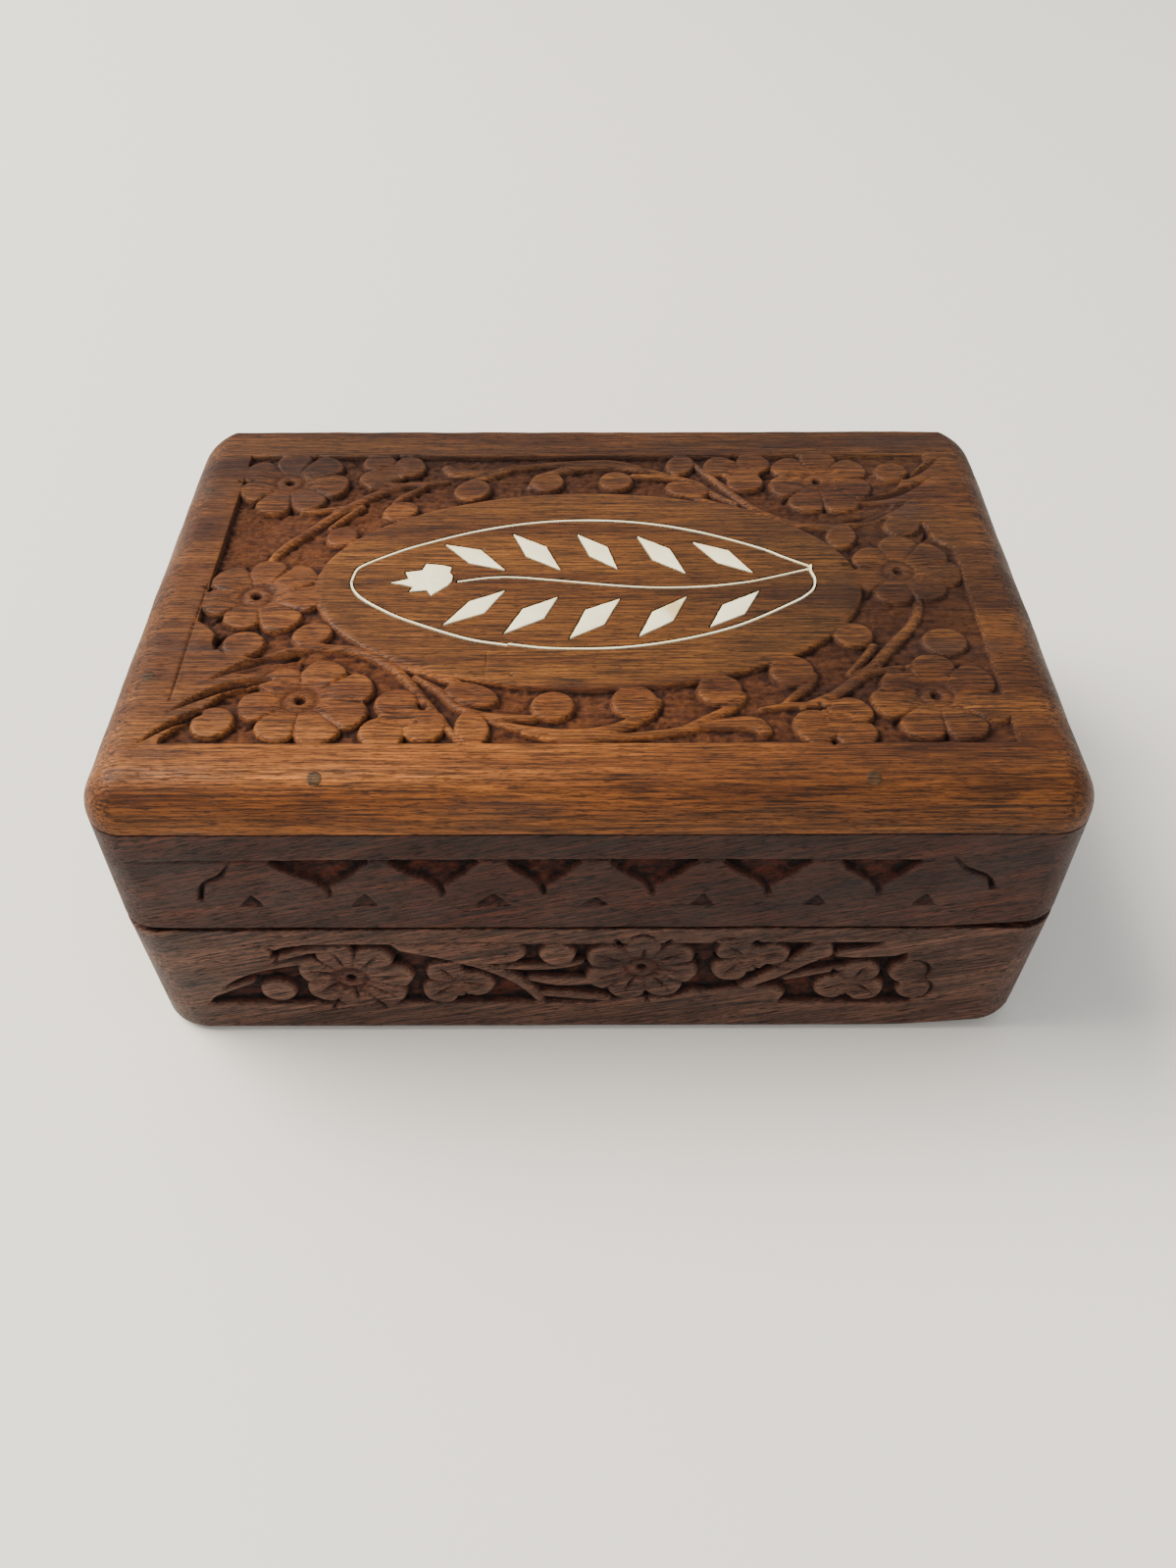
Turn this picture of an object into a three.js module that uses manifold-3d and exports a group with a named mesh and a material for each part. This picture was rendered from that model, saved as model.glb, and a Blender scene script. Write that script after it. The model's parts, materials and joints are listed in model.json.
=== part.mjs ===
// Keepsake box of carved hardwood with a leaf of white inlay in the lid.
//
// Millimetres, +Z up. The origin is the centre of the underside, X runs along the length with the
// front face towards -Y, and the lid swings on two butt hinges let into the back.

import * as THREE from 'three';
import { mergeVertices } from 'three/addons/utils/BufferGeometryUtils.js';
import Module from 'manifold-3d';

// ---- driving dimensions ---------------------------------------------------------------------

const LENGTH = 152;
const DEPTH = 102;
const HEIGHT = 60;
const SEAM = 30; // height of the joint between box and lid
const SEAM_GAP = 0.3;
const WALL = 9; // thickness of the walls and of the lid's rails
const LID_BOARD = 8;
const BASE_BOARD = 5;
const LINING = 1;
const FIT = 0.3; // gap left where one piece is cut to take another

const CORNER = 7; // plan radius of the upright corners
const FOOT_CORNER = 8.5; // the same at the worn foot of the box
const TAPER = 0.45; // how far the walls draw in at the foot
const FOOT_EDGE = 2; // rounding of the lowest edge
const TOP_RISE = 7.4; // height of the rounded top edge
const TOP_RUN = { front: 6.7, back: 2.5, side: 6.5 }; // its width on each side
const ROUND_STEPS = 4;

const CARVING_DEPTH = 1.5; // ground of the lid's carved field
const WALL_CARVING_DEPTH = 1.4;
const RIB = 1.5; // width of a carved stem
const INLAY_DEPTH = 1;
const PETAL_SHARE = 0.38; // radius of a petal as a share of the flower's reach
const PETAL_SIDES = 9;
const HEART_SIDES = 8;
const OVAL_SIDES = 36;
const OUTLINE_WIDTH = 0.5;
const VEIN_WIDTH = 0.38;

const PEG_RADIUS = 1.1;
const PEG_LENGTH = 16;

const HINGE_X = 46; // distance of each hinge from the middle
const HINGE_LENGTH = 25;
const HINGE_Y = 49; // hinge line, just inside the back face
const KNUCKLE_RADIUS = 1.6;
const KNUCKLE_MIDDLE = 8; // length of the lid leaf's one knuckle
const PIN_RADIUS = 0.72;
const PIN_BORE = 0.8;
const LEAF_FRONT_Y = 43.6;
const LEAF_THICKNESS = 0.9;
const GROOVE_Y = 48.7; // bottom of the V between the two back edges
const GROOVE_ANGLE = 51; // degrees from level; the two bevels meet when the lid is open
const SCREW_SPREAD = 8;
const SCREW_Y = 45.4;
const SCREW_HEAD_RADIUS = 1.3;
const SCREW_HEAD = 0.5;
const SCREW_RADIUS = 0.8;
const SCREW_LENGTH = 6;
const SHANK_OVERLAP = 0.1; // how far the shank reaches into the head
const TURNED_SIDES = 12; // facets round a knuckle, a pin, a peg or a screw's head
const HOLE_SIDES = 10;
const SHANK_SIDES = 8;

const RAIL_TOP = HEIGHT - LID_BOARD;
const INSIDE_X = LENGTH / 2 - WALL;
const INSIDE_Y = DEPTH / 2 - WALL;
const LID_BOTTOM = SEAM + SEAM_GAP / 2;
const BASE_TOP = SEAM - SEAM_GAP / 2;

// ---- layout of the carving and the inlay ----------------------------------------------------
// The field on the lid turns onto itself by half a turn, so one half is listed.

const FIELD = { left: -64.5, right: 64.5, front: -40, back: 40.5 };
const OVAL = { halfLength: 46.6, halfWidth: 27.3 };

// centre x, centre y, reach, petals, angle of the first petal
const LID_FLOWERS = [
  [-56, 31.3, 9.5, 7, 95],
  [-56.3, -3.3, 9, 7, 38],
  [-44.9, -29.5, 9.5, 8, 15],
];

// centre x, centre y, radius of buds and loose petals
const LID_BUDS = [
  [-40.1, 37.4, 2.8], [-40.4, 32.3, 3], [-34, 36.6, 3],
  [-29.5, -29.4, 3], [-31.5, -35.9, 3.2], [-24.7, -35.1, 3],
  [-57.2, -34.4, 3], [-45, -13.4, 3.2], [-56.5, -15.1, 3.4], [-18.8, -29.1, 3],
  [-17.8, -35.6, 3.2], [-5.8, -30.7, 3], [7, -30, 3.1], [20.6, -27.5, 3.2],
  [32.3, -23.4, 3.3], [42.9, -13.7, 3.3], [57.9, -15.9, 3.6],
];

const LID_STEMS = [
  [[-62.2, -27], [-51.9, -19.4], [-43.3, -16.8], [-34.7, -18], [-28, -23.7], [-22.6, -32],
    [-19.4, -39.8]],
  [[-31, -19.4], [-22.2, -28], [-17, -30]],
  [[-64, -38], [-61, -33.2], [-59.7, -26], [-52.6, -24.6]],
  [[-15.3, -33.7], [-8, -37.6], [-1, -38.7], [10, -36.8], [16.9, -34.8]],
  [[14.7, -35.7], [20, -33.4], [20.6, -27.5]],
  [[30.7, -29.8], [32.3, -23.4]],
  [[54, -4], [54, -8.7], [49.7, -19], [45.4, -23.7], [40, -27], [30, -32.3], [20, -33.7]],
];

// Both halves of the leaf's outline start at the foot of the leaf and end at its tip.
const OUTLINE_BACK = [
  [-40.6, 0.4], [-40, 3.7], [-34.7, 8], [-30, 10.7], [-20, 15], [-10, 17.6], [0, 18.4], [10, 17.5],
  [20, 14.7], [30, 10], [34.3, 7.1], [38.4, 4.5],
];
const OUTLINE_FRONT_LEFT = [
  [-40.5, -0.4], [-40, -1.9], [-34.7, -7.3], [-30, -10.3], [-20, -15], [-13.6, -16.6],
];
const OUTLINE_FRONT_RIGHT = [
  [-13, -16.6], [-6, -17.5], [4.7, -17.4], [15, -15.4], [25, -11.6], [34.3, -5.7], [37.1, -3.4],
  [38.4, -1.6], [38.9, 0.9], [38.6, 2.6],
];
const VEIN = [
  [-22.4, 0.2], [-17, 1.3], [-6, 0.6], [6.1, -1.1], [13.3, -1.5], [25.8, -0.3], [36.6, 3.1],
];

const BUD_INLAY = [
  [-33.8, 0], [-30.8, 1], [-31.5, 2.9], [-28.7, 3.4], [-28.2, 5.3], [-23.4, 4.2], [-23.9, 2.8],
  [-23.4, 0.4], [-24, -0.8], [-26.6, -3.5], [-27.4, -2.1], [-30.4, -2.5], [-29.8, -1.2],
  [-31.9, -0.5],
];

const LEAFLETS = {
  back: [
    [[-25.2, 11], [-18.9, 9.4], [-14.5, 3.6], [-20.6, 5.5]],
    [[-13.3, 14.1], [-7.4, 10.3], [-4.9, 3.6], [-10.8, 7.5]],
    [[-1.9, 14], [3.4, 10.2], [5, 3.9], [0.25, 7.6]],
    [[8.8, 13.4], [14.4, 9.6], [16.75, 2.6], [11.3, 6.4]],
    [[18.6, 11.6], [24.7, 9.1], [28.4, 2.7], [22.6, 5.5]],
  ],
  front: [
    [[-14.2, -2.3], [-20.1, -5.3], [-24, -11.5], [-17.4, -8.4]],
    [[-5.2, -4.1], [-11, -7.3], [-13.9, -13.8], [-7.4, -9.8]],
    [[5.3, -4.6], [-0.5, -7.6], [-3.1, -15.1], [2.6, -11.4]],
    [[16.6, -4], [10.6, -8.2], [8.2, -14.6], [14, -10.5]],
    [[29, -2.5], [22.5, -6.3], [20, -12.2], [26, -8.7]],
  ],
};

// pegs through the lid board: name, x, y
const PEGS = [
  ['front_left', -40.3, -46.5],
  ['front_right', 41.7, -46.5],
  ['left_front', -69.6, -24.2],
  ['left_back', -70.6, 28.3],
];

// The bands on the walls are listed along each face: distance from its middle, height.
// A band's left end slants: slantTop and slantMiddle are how far it draws in at those heights.
const BAND = { low: 8, high: 25.3, slantTop: 10, slantMiddle: 4 };
const FRONT_BAND = { from: -64, to: 57.5 };
const FRONT_FLOWERS = [
  [-40, 14.9, 8.3, 6, 10],
  [8.8, 17.9, 8.4, 7, 90],
];
const FRONT_BUDS = [
  [-52.9, 12.1, 2.9], [-24.4, 17.4, 3], [-25.4, 11.3, 3], [-18.8, 13.8, 2.9], [-5.4, 22, 3.1],
  [-15, 22.7, 2.6], [24, 22.7, 3], [30.4, 21.9, 2.9], [23.2, 17.4, 3], [45.7, 17, 2.9],
  [41, 12.6, 2.9], [47.1, 11.8, 2.9], [53.6, 17.2, 3.3], [55, 12.2, 2.6],
];
const FRONT_STEMS = [
  [[-64, 10.5], [-59, 15.5], [-50, 19.6], [-41, 24.4]],
  [[-31, 22.5], [-21, 20.4], [-14, 17.5], [-10, 12.5], [-8, 8.6]],
  [[-9, 14.3], [0, 13.6]],
  [[17, 9.6], [26, 13], [33, 19], [37.4, 24.6]],
  [[34, 17], [42, 20.4], [52, 22.6]],
];
const SIDE_BAND = { from: -37, to: 37 };
const SIDE_FLOWERS = [
  [0, 16.6, 8.4, 7, 90],
];
const SIDE_BUDS = [
  [-13.5, 20.6, 3], [-12.6, 13.6, 3], [13.5, 12.8, 3], [12.6, 19.8, 3], [-30.6, 12.4, 3],
  [30.6, 21, 3],
];
const SIDE_STEMS = [
  [[-36, 22.5], [-27, 20.6], [-20, 15.6], [-17.5, 8.6]],
  [[36, 10.9], [27, 12.8], [20, 17.8], [17.5, 24.8]],
];

const SCALLOP_PITCH = 17.5;
const SCALLOP_HALF = 6.4;
const SCALLOP_TOP = 46;
const SCALLOP_TIP = 38.4;
const SCALLOP_NECK = { half: 2.2, drop: 3 }; // where a wedge turns down to its tip
const NOTCH = { low: 35.6, high: 38.3, half: 1.9 };
const FRONT_SCALLOPS = { first: -41.8, count: 6 };
const SIDE_SCALLOPS = { first: -26.2, count: 4 };

// ---- solids ---------------------------------------------------------------------------------

const wasm = await Module();
wasm.setup();

function solid(geometry) {
  const bare = geometry.clone();
  bare.deleteAttribute('normal');
  bare.deleteAttribute('uv');
  const merged = mergeVertices(bare, 1e-4);
  return new wasm.Manifold(new wasm.Mesh({
    numProp: 3,
    vertProperties: new Float32Array(merged.attributes.position.array),
    triVerts: new Uint32Array(merged.index.array),
  }));
}

function geometryOf(manifold) {
  const mesh = manifold.getMesh();
  const geometry = new THREE.BufferGeometry();
  geometry.setAttribute('position', new THREE.BufferAttribute(mesh.vertProperties, 3));
  geometry.setIndex(new THREE.BufferAttribute(mesh.triVerts, 1));
  geometry.computeVertexNormals();
  return geometry;
}

function box(low, high) {
  const size = high.map((value, axis) => value - low[axis]);
  const geometry = new THREE.BoxGeometry(...size);
  geometry.translate(...low.map((value, axis) => (value + high[axis]) / 2));
  return solid(geometry);
}

// A prism of a closed outline in X and Y, from z = 0 up to the given height.
function prism(points, height) {
  const shape = new THREE.Shape(points.map(([x, y]) => new THREE.Vector2(x, y)));
  return solid(new THREE.ExtrudeGeometry(shape, { depth: height, bevelEnabled: false }));
}

function upright(radius, low, high, x, y, sides) {
  const points = circle(x, y, radius, sides);
  return prism(points, high - low).translate([0, 0, low]);
}

function circle(x, y, radius, sides) {
  return Array.from({ length: sides }, (_, index) => {
    const angle = (2 * Math.PI * index) / sides;
    return [x + radius * Math.cos(angle), y + radius * Math.sin(angle)];
  });
}

// The outline of a strip of one width along an open line.
function strip(line, width) {
  const left = [];
  const right = [];
  line.forEach(([x, y], index) => {
    const [fromX, fromY] = line[Math.max(index - 1, 0)];
    const [toX, toY] = line[Math.min(index + 1, line.length - 1)];
    const length = Math.hypot(toX - fromX, toY - fromY);
    const acrossX = (-(toY - fromY) / length) * (width / 2);
    const acrossY = ((toX - fromX) / length) * (width / 2);
    left.push([x + acrossX, y + acrossY]);
    right.push([x - acrossX, y - acrossY]);
  });
  return [...right, ...left.reverse()];
}

// A line lengthened at both ends, for the groove that takes a strip with a gap all round.
function lengthened(line, amount) {
  const beyond = ([x, y], [fromX, fromY]) => {
    const length = Math.hypot(x - fromX, y - fromY);
    return [x + ((x - fromX) / length) * amount, y + ((y - fromY) / length) * amount];
  };
  return [
    beyond(line[0], line[1]),
    ...line.slice(1, -1),
    beyond(line.at(-1), line.at(-2)),
  ];
}

// A closed outline with each corner moved outwards, its two edges each by the same amount.
function outset(points, amount) {
  const count = points.length;
  const area = points.reduce((sum, [x, y], index) => {
    const [nextX, nextY] = points[(index + 1) % count];
    return sum + x * nextY - nextX * y;
  }, 0);
  const side = Math.sign(area) * amount;
  const normal = (index) => {
    const [x, y] = points[index % count];
    const [nextX, nextY] = points[(index + 1) % count];
    const length = Math.hypot(nextX - x, nextY - y);
    return [(nextY - y) / length, -(nextX - x) / length];
  };
  return points.map(([x, y], index) => {
    const [beforeX, beforeY] = normal(index + count - 1);
    const [afterX, afterY] = normal(index);
    const scale = side / (1 + beforeX * afterX + beforeY * afterY);
    return [x + (beforeX + afterX) * scale, y + (beforeY + afterY) * scale];
  });
}

// ---- the rounded block that the whole box is cut from ----------------------------------------

function ring(height, inset, radius) {
  const right = LENGTH / 2 - inset.side - radius;
  const back = DEPTH / 2 - inset.back - radius;
  const front = -DEPTH / 2 + inset.front + radius;
  const centres = [[right, back], [-right, back], [-right, front], [right, front]];
  return centres.flatMap(([x, y], quarter) => (
    Array.from({ length: ROUND_STEPS + 1 }, (_, step) => {
      const angle = (quarter + step / ROUND_STEPS) * (Math.PI / 2);
      return [x + radius * Math.cos(angle), y + radius * Math.sin(angle), height];
    })
  ));
}

function loft(rings) {
  const count = rings[0].length;
  const indices = [];
  for (let level = 0; level + 1 < rings.length; level += 1) {
    for (let index = 0; index < count; index += 1) {
      const low = level * count + index;
      const lowNext = level * count + ((index + 1) % count);
      indices.push(low, lowNext, lowNext + count, low, lowNext + count, low + count);
    }
  }
  const top = (rings.length - 1) * count;
  for (let index = 1; index + 1 < count; index += 1) {
    indices.push(0, index + 1, index);
    indices.push(top, top + index, top + index + 1);
  }
  const geometry = new THREE.BufferGeometry();
  geometry.setAttribute('position', new THREE.Float32BufferAttribute(rings.flat(2), 3));
  geometry.setIndex(indices);
  return solid(geometry);
}

function roundedBlock() {
  const rings = [];
  for (let step = 0; step <= ROUND_STEPS; step += 1) {
    const angle = (step / ROUND_STEPS) * (Math.PI / 2);
    const inset = TAPER + FOOT_EDGE * (1 - Math.sin(angle));
    rings.push(ring(
      FOOT_EDGE * (1 - Math.cos(angle)),
      { front: inset, back: inset, side: inset },
      FOOT_CORNER,
    ));
  }
  rings.push(ring(SEAM, { front: 0, back: 0, side: 0 }, CORNER));
  for (let step = 0; step <= ROUND_STEPS; step += 1) {
    const angle = (step / ROUND_STEPS) * (Math.PI / 2);
    const share = 1 - Math.cos(angle);
    rings.push(ring(
      HEIGHT - TOP_RISE + TOP_RISE * Math.sin(angle),
      { front: TOP_RUN.front * share, back: TOP_RUN.back * share, side: TOP_RUN.side * share },
      CORNER,
    ));
  }
  return loft(rings);
}

const BLOCK = roundedBlock();

// ---- carving --------------------------------------------------------------------------------

const FACES = {
  top: { across: [1, 0, 0], up: [0, 1, 0], out: [0, 0, 1], at: [0, 0, HEIGHT] },
  front: { across: [1, 0, 0], up: [0, 0, 1], out: [0, -1, 0], at: [0, -DEPTH / 2, 0] },
  left: { across: [0, -1, 0], up: [0, 0, 1], out: [-1, 0, 0], at: [-LENGTH / 2, 0, 0] },
  right: { across: [0, 1, 0], up: [0, 0, 1], out: [1, 0, 0], at: [LENGTH / 2, 0, 0] },
};

// A cutter for an outline drawn on one face, sunk to the given depth and open outwards.
function pocket(face, points, depth) {
  const { across, up, out, at } = FACES[face];
  const place = new THREE.Matrix4().makeBasis(
    new THREE.Vector3(...across),
    new THREE.Vector3(...up),
    new THREE.Vector3(...out),
  );
  place.setPosition(new THREE.Vector3(...at));
  const cutter = prism(points, depth + 1).translate([0, 0, -depth]);
  return cutter.transform(place.elements);
}

function flower([x, y, reach, petals, firstAngle]) {
  const petalRadius = reach * PETAL_SHARE;
  const centres = Array.from({ length: petals }, (_, index) => {
    const angle = ((firstAngle + (360 * index) / petals) * Math.PI) / 180;
    const distance = reach - petalRadius;
    return [x + distance * Math.cos(angle), y + distance * Math.sin(angle)];
  });
  return [
    circle(x, y, reach - petalRadius, HEART_SIDES),
    ...centres.map(([petalX, petalY]) => circle(petalX, petalY, petalRadius, PETAL_SIDES)),
  ];
}

// A sunk ground with flowers, buds and stems left standing in it.
function carvedGround(face, ground, depth, motifs) {
  const islands = [
    ...motifs.flowers.flatMap(flower),
    ...motifs.buds.map(([x, y, radius]) => circle(x, y, radius, PETAL_SIDES)),
    ...motifs.stems.map((line) => strip(line, RIB)),
    ...(motifs.plain ?? []),
  ];
  return islands.reduce(
    (cutter, island) => cutter.subtract(pocket(face, island, depth + 1)),
    pocket(face, ground, depth),
  );
}

const turned = ([x, y, ...rest]) => [-x, -y, ...rest];

function lidField() {
  const halfTurnFlowers = LID_FLOWERS.map(([x, y, reach, petals, angle]) => (
    [-x, -y, reach, petals, angle + 180]
  ));
  const oval = Array.from({ length: OVAL_SIDES }, (_, index) => {
    const angle = (2 * Math.PI * index) / OVAL_SIDES;
    return [OVAL.halfLength * Math.cos(angle), OVAL.halfWidth * Math.sin(angle)];
  });
  const ground = [
    [FIELD.left, FIELD.front],
    [FIELD.right, FIELD.front],
    [FIELD.right, FIELD.back],
    [FIELD.left, FIELD.back],
  ];
  return carvedGround('top', ground, CARVING_DEPTH, {
    flowers: [...LID_FLOWERS, ...halfTurnFlowers],
    buds: [...LID_BUDS, ...LID_BUDS.map(turned)],
    stems: [...LID_STEMS, ...LID_STEMS.map((line) => line.map(turned))],
    plain: [oval],
  });
}

function wallBand(face, { from, to }, flowers, buds, stems) {
  const ground = [
    [from, BAND.low],
    [to, BAND.low],
    [to, BAND.high],
    [from + BAND.slantTop, BAND.high],
    [from + BAND.slantMiddle, (BAND.low + BAND.high) / 2],
  ];
  return carvedGround(face, ground, WALL_CARVING_DEPTH, { flowers, buds, stems });
}

// Dark wedges between the scallops, and a small notch under the middle of each scallop.
function railBand(face, { first, count }) {
  const cutters = [];
  for (let index = 0; index < count; index += 1) {
    const tip = first + index * SCALLOP_PITCH;
    cutters.push(pocket(face, [
      [tip - SCALLOP_HALF, SCALLOP_TOP],
      [tip - SCALLOP_NECK.half, SCALLOP_TOP - SCALLOP_NECK.drop],
      [tip, SCALLOP_TIP],
      [tip + SCALLOP_NECK.half, SCALLOP_TOP - SCALLOP_NECK.drop],
      [tip + SCALLOP_HALF, SCALLOP_TOP],
    ], WALL_CARVING_DEPTH));
  }
  for (let index = 0; index + 1 < count; index += 1) {
    const middle = first + (index + 0.5) * SCALLOP_PITCH;
    cutters.push(pocket(face, [
      [middle - NOTCH.half, NOTCH.low],
      [middle + NOTCH.half, NOTCH.low],
      [middle, NOTCH.high],
    ], WALL_CARVING_DEPTH));
  }
  return cutters;
}

// ---- hinges ---------------------------------------------------------------------------------

// A bar along X with the given outline in Y and Z.
function barAlongX(points, fromX, toX) {
  const place = new THREE.Matrix4().makeBasis(
    new THREE.Vector3(0, 1, 0),
    new THREE.Vector3(0, 0, 1),
    new THREE.Vector3(1, 0, 0),
  );
  return prism(points, toX - fromX).transform(place.elements).translate([fromX, 0, 0]);
}

function hingeSpan(hingeX, from, to, radius) {
  return barAlongX(circle(HINGE_Y, SEAM, radius, TURNED_SIDES), hingeX + from, hingeX + to);
}

// Everything that the wood of one side loses to a hinge: leaf, knuckles and screw holes.
function hingeHousing(hingeX, side) {
  const seat = side > 0 ? LID_BOTTOM : BASE_TOP;
  const half = HINGE_LENGTH / 2 + FIT;
  const depths = [seat - side, seat + side * LEAF_THICKNESS].sort((a, b) => a - b);
  const recess = box(
    [hingeX - half, LEAF_FRONT_Y - FIT, depths[0]],
    [hingeX + half, HINGE_Y, depths[1]],
  );
  const barrel = hingeSpan(hingeX, -half, half, KNUCKLE_RADIUS + FIT);
  const ends = [seat, seat + side * (SCREW_LENGTH + FIT)].sort((a, b) => a - b);
  return screwPlaces(hingeX).reduce(
    (housing, x) => housing.add(
      upright(SCREW_RADIUS + FIT, ends[0], ends[1], x, SCREW_Y, HOLE_SIDES),
    ),
    recess.add(barrel),
  );
}

function screwPlaces(hingeX) {
  return [hingeX - SCREW_SPREAD, hingeX + SCREW_SPREAD];
}

function hingeLeaf(hingeX, side) {
  const seat = side > 0 ? LID_BOTTOM : BASE_TOP;
  const half = HINGE_LENGTH / 2;
  const middle = KNUCKLE_MIDDLE / 2;
  const spans = side > 0 ? [[-middle, middle]] : [[-half, -middle - FIT], [middle + FIT, half]];
  const [low, high] = [seat, seat + side * LEAF_THICKNESS].sort((a, b) => a - b);
  let leaf = box(
    [hingeX - half, LEAF_FRONT_Y, low],
    [hingeX + half, HINGE_Y - KNUCKLE_RADIUS - FIT, high],
  );
  for (const [from, to] of spans) {
    const tab = box([hingeX + from, LEAF_FRONT_Y, low], [hingeX + to, HINGE_Y, high]);
    leaf = leaf.add(tab).add(hingeSpan(hingeX, from, to, KNUCKLE_RADIUS));
  }
  leaf = leaf.subtract(hingeSpan(hingeX, -half - 1, half + 1, PIN_BORE));
  const step = seat + side * SCREW_HEAD;
  const [headLow, headHigh] = [seat - side, step].sort((a, b) => a - b);
  for (const x of screwPlaces(hingeX)) {
    leaf = leaf.subtract(
      upright(SCREW_HEAD_RADIUS + FIT, headLow, headHigh, x, SCREW_Y, TURNED_SIDES),
    );
    leaf = leaf.subtract(
      upright(SCREW_RADIUS + FIT, low - 1, high + 1, x, SCREW_Y, HOLE_SIDES),
    );
  }
  return leaf;
}

function hingePin(hingeX) {
  const half = HINGE_LENGTH / 2;
  return hingeSpan(hingeX, -half, half, PIN_RADIUS);
}

function screw(x, side) {
  const seat = side > 0 ? LID_BOTTOM : BASE_TOP;
  const under = seat + side * SCREW_HEAD;
  const end = seat + side * SCREW_LENGTH;
  const [headLow, headHigh] = [seat, under].sort((a, b) => a - b);
  const [shankLow, shankHigh] = [under - side * SHANK_OVERLAP, end].sort((a, b) => a - b);
  const head = upright(SCREW_HEAD_RADIUS, headLow, headHigh, x, SCREW_Y, TURNED_SIDES);
  return head.add(upright(SCREW_RADIUS, shankLow, shankHigh, x, SCREW_Y, SHANK_SIDES));
}

// The V between the back edges of box and lid, whose sides meet and stop the open lid.
function backGroove() {
  const reach = DEPTH / 2 + 1 - GROOVE_Y;
  const rise = reach * Math.tan((GROOVE_ANGLE * Math.PI) / 180);
  const outline = [
    [GROOVE_Y, SEAM],
    [GROOVE_Y + reach, SEAM - rise],
    [GROOVE_Y + reach, SEAM + rise],
  ];
  return barAlongX(outline, -LENGTH / 2 - 1, LENGTH / 2 + 1);
}

// ---- materials ------------------------------------------------------------------------------

const PALETTE = {
  lidWood: { color: 0x9a5a2c, roughness: 0.5, metalness: 0 },
  wallWood: { color: 0x4a2c24, roughness: 0.55, metalness: 0 },
  innerWood: { color: 0x6b4028, roughness: 0.7, metalness: 0 },
  bone: { color: 0xe8e2d2, roughness: 0.4, metalness: 0 },
  pegWood: { color: 0x2c1a12, roughness: 0.6, metalness: 0 },
  brass: { color: 0xb08d45, roughness: 0.4, metalness: 1 },
  velvet: { color: 0x6d1420, roughness: 0.95, metalness: 0 },
};

const model = new THREE.Group();

function addPiece(name, manifold, finish) {
  const mesh = new THREE.Mesh(
    geometryOf(manifold),
    new THREE.MeshStandardMaterial(PALETTE[finish]),
  );
  mesh.name = name;
  model.add(mesh);
}

// ---- box ------------------------------------------------------------------------------------

const GROOVE = backGroove();
const HINGES = [['left', -HINGE_X], ['right', HINGE_X]];

// One side of a frame of four, between two heights, cut from the rounded block.
function frameSide(side, low, high) {
  const spans = {
    front: [[-LENGTH / 2, -DEPTH / 2], [LENGTH / 2, -INSIDE_Y]],
    back: [[-LENGTH / 2, INSIDE_Y], [LENGTH / 2, DEPTH / 2]],
    left: [[-LENGTH / 2, -INSIDE_Y], [-INSIDE_X, INSIDE_Y]],
    right: [[INSIDE_X, -INSIDE_Y], [LENGTH / 2, INSIDE_Y]],
  };
  const [from, to] = spans[side];
  return box([...from, low], [...to, high]).intersect(BLOCK);
}

function cut(piece, cutters) {
  return cutters.reduce((rest, cutter) => rest.subtract(cutter), piece);
}

function backSide(low, high, side) {
  const housings = HINGES.map(([, x]) => hingeHousing(x, side));
  return cut(frameSide('back', low, high), [GROOVE, ...housings]);
}

function buildBase() {
  const frontBand = wallBand('front', FRONT_BAND, FRONT_FLOWERS, FRONT_BUDS, FRONT_STEMS);
  addPiece('base_front_wall', cut(frameSide('front', 0, BASE_TOP), [frontBand]), 'wallWood');
  addPiece('base_back_wall', backSide(0, BASE_TOP, -1), 'wallWood');
  for (const side of ['left', 'right']) {
    const band = wallBand(side, SIDE_BAND, SIDE_FLOWERS, SIDE_BUDS, SIDE_STEMS);
    addPiece(`base_${side}_wall`, cut(frameSide(side, 0, BASE_TOP), [band]), 'wallWood');
  }
  const bottom = box([-INSIDE_X, -INSIDE_Y, 0], [INSIDE_X, INSIDE_Y, BASE_BOARD]);
  addPiece('base_board', bottom, 'innerWood');
}

// ---- lid ------------------------------------------------------------------------------------

function peg(x, y) {
  const whole = upright(PEG_RADIUS, HEIGHT - PEG_LENGTH, HEIGHT + 1, x, y, TURNED_SIDES);
  return whole.intersect(BLOCK);
}

function pegHole([, x, y]) {
  return upright(PEG_RADIUS + FIT, HEIGHT - PEG_LENGTH, HEIGHT + 1, x, y, TURNED_SIDES);
}

function buildLid() {
  const pegHoles = PEGS.map(pegHole);
  const frontBand = railBand('front', FRONT_SCALLOPS);
  const front = frameSide('front', LID_BOTTOM, RAIL_TOP);
  addPiece('lid_front_rail', cut(front, [...frontBand, ...pegHoles]), 'wallWood');
  addPiece('lid_back_rail', backSide(LID_BOTTOM, RAIL_TOP, 1), 'wallWood');
  for (const side of ['left', 'right']) {
    const rail = frameSide(side, LID_BOTTOM, RAIL_TOP);
    const band = railBand(side, SIDE_SCALLOPS);
    addPiece(`lid_${side}_rail`, cut(rail, [...band, ...pegHoles]), 'wallWood');
  }
  const slab = box([-LENGTH / 2, -DEPTH / 2, RAIL_TOP], [LENGTH / 2, DEPTH / 2, HEIGHT]);
  const board = cut(slab.intersect(BLOCK), [lidField(), ...pegHoles, ...inlayGrooves()]);
  addPiece('lid_board', board, 'lidWood');
  for (const [name, x, y] of PEGS) {
    addPiece(`lid_peg_${name}`, peg(x, y), 'pegWood');
  }
}

// ---- inlay ----------------------------------------------------------------------------------

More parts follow.
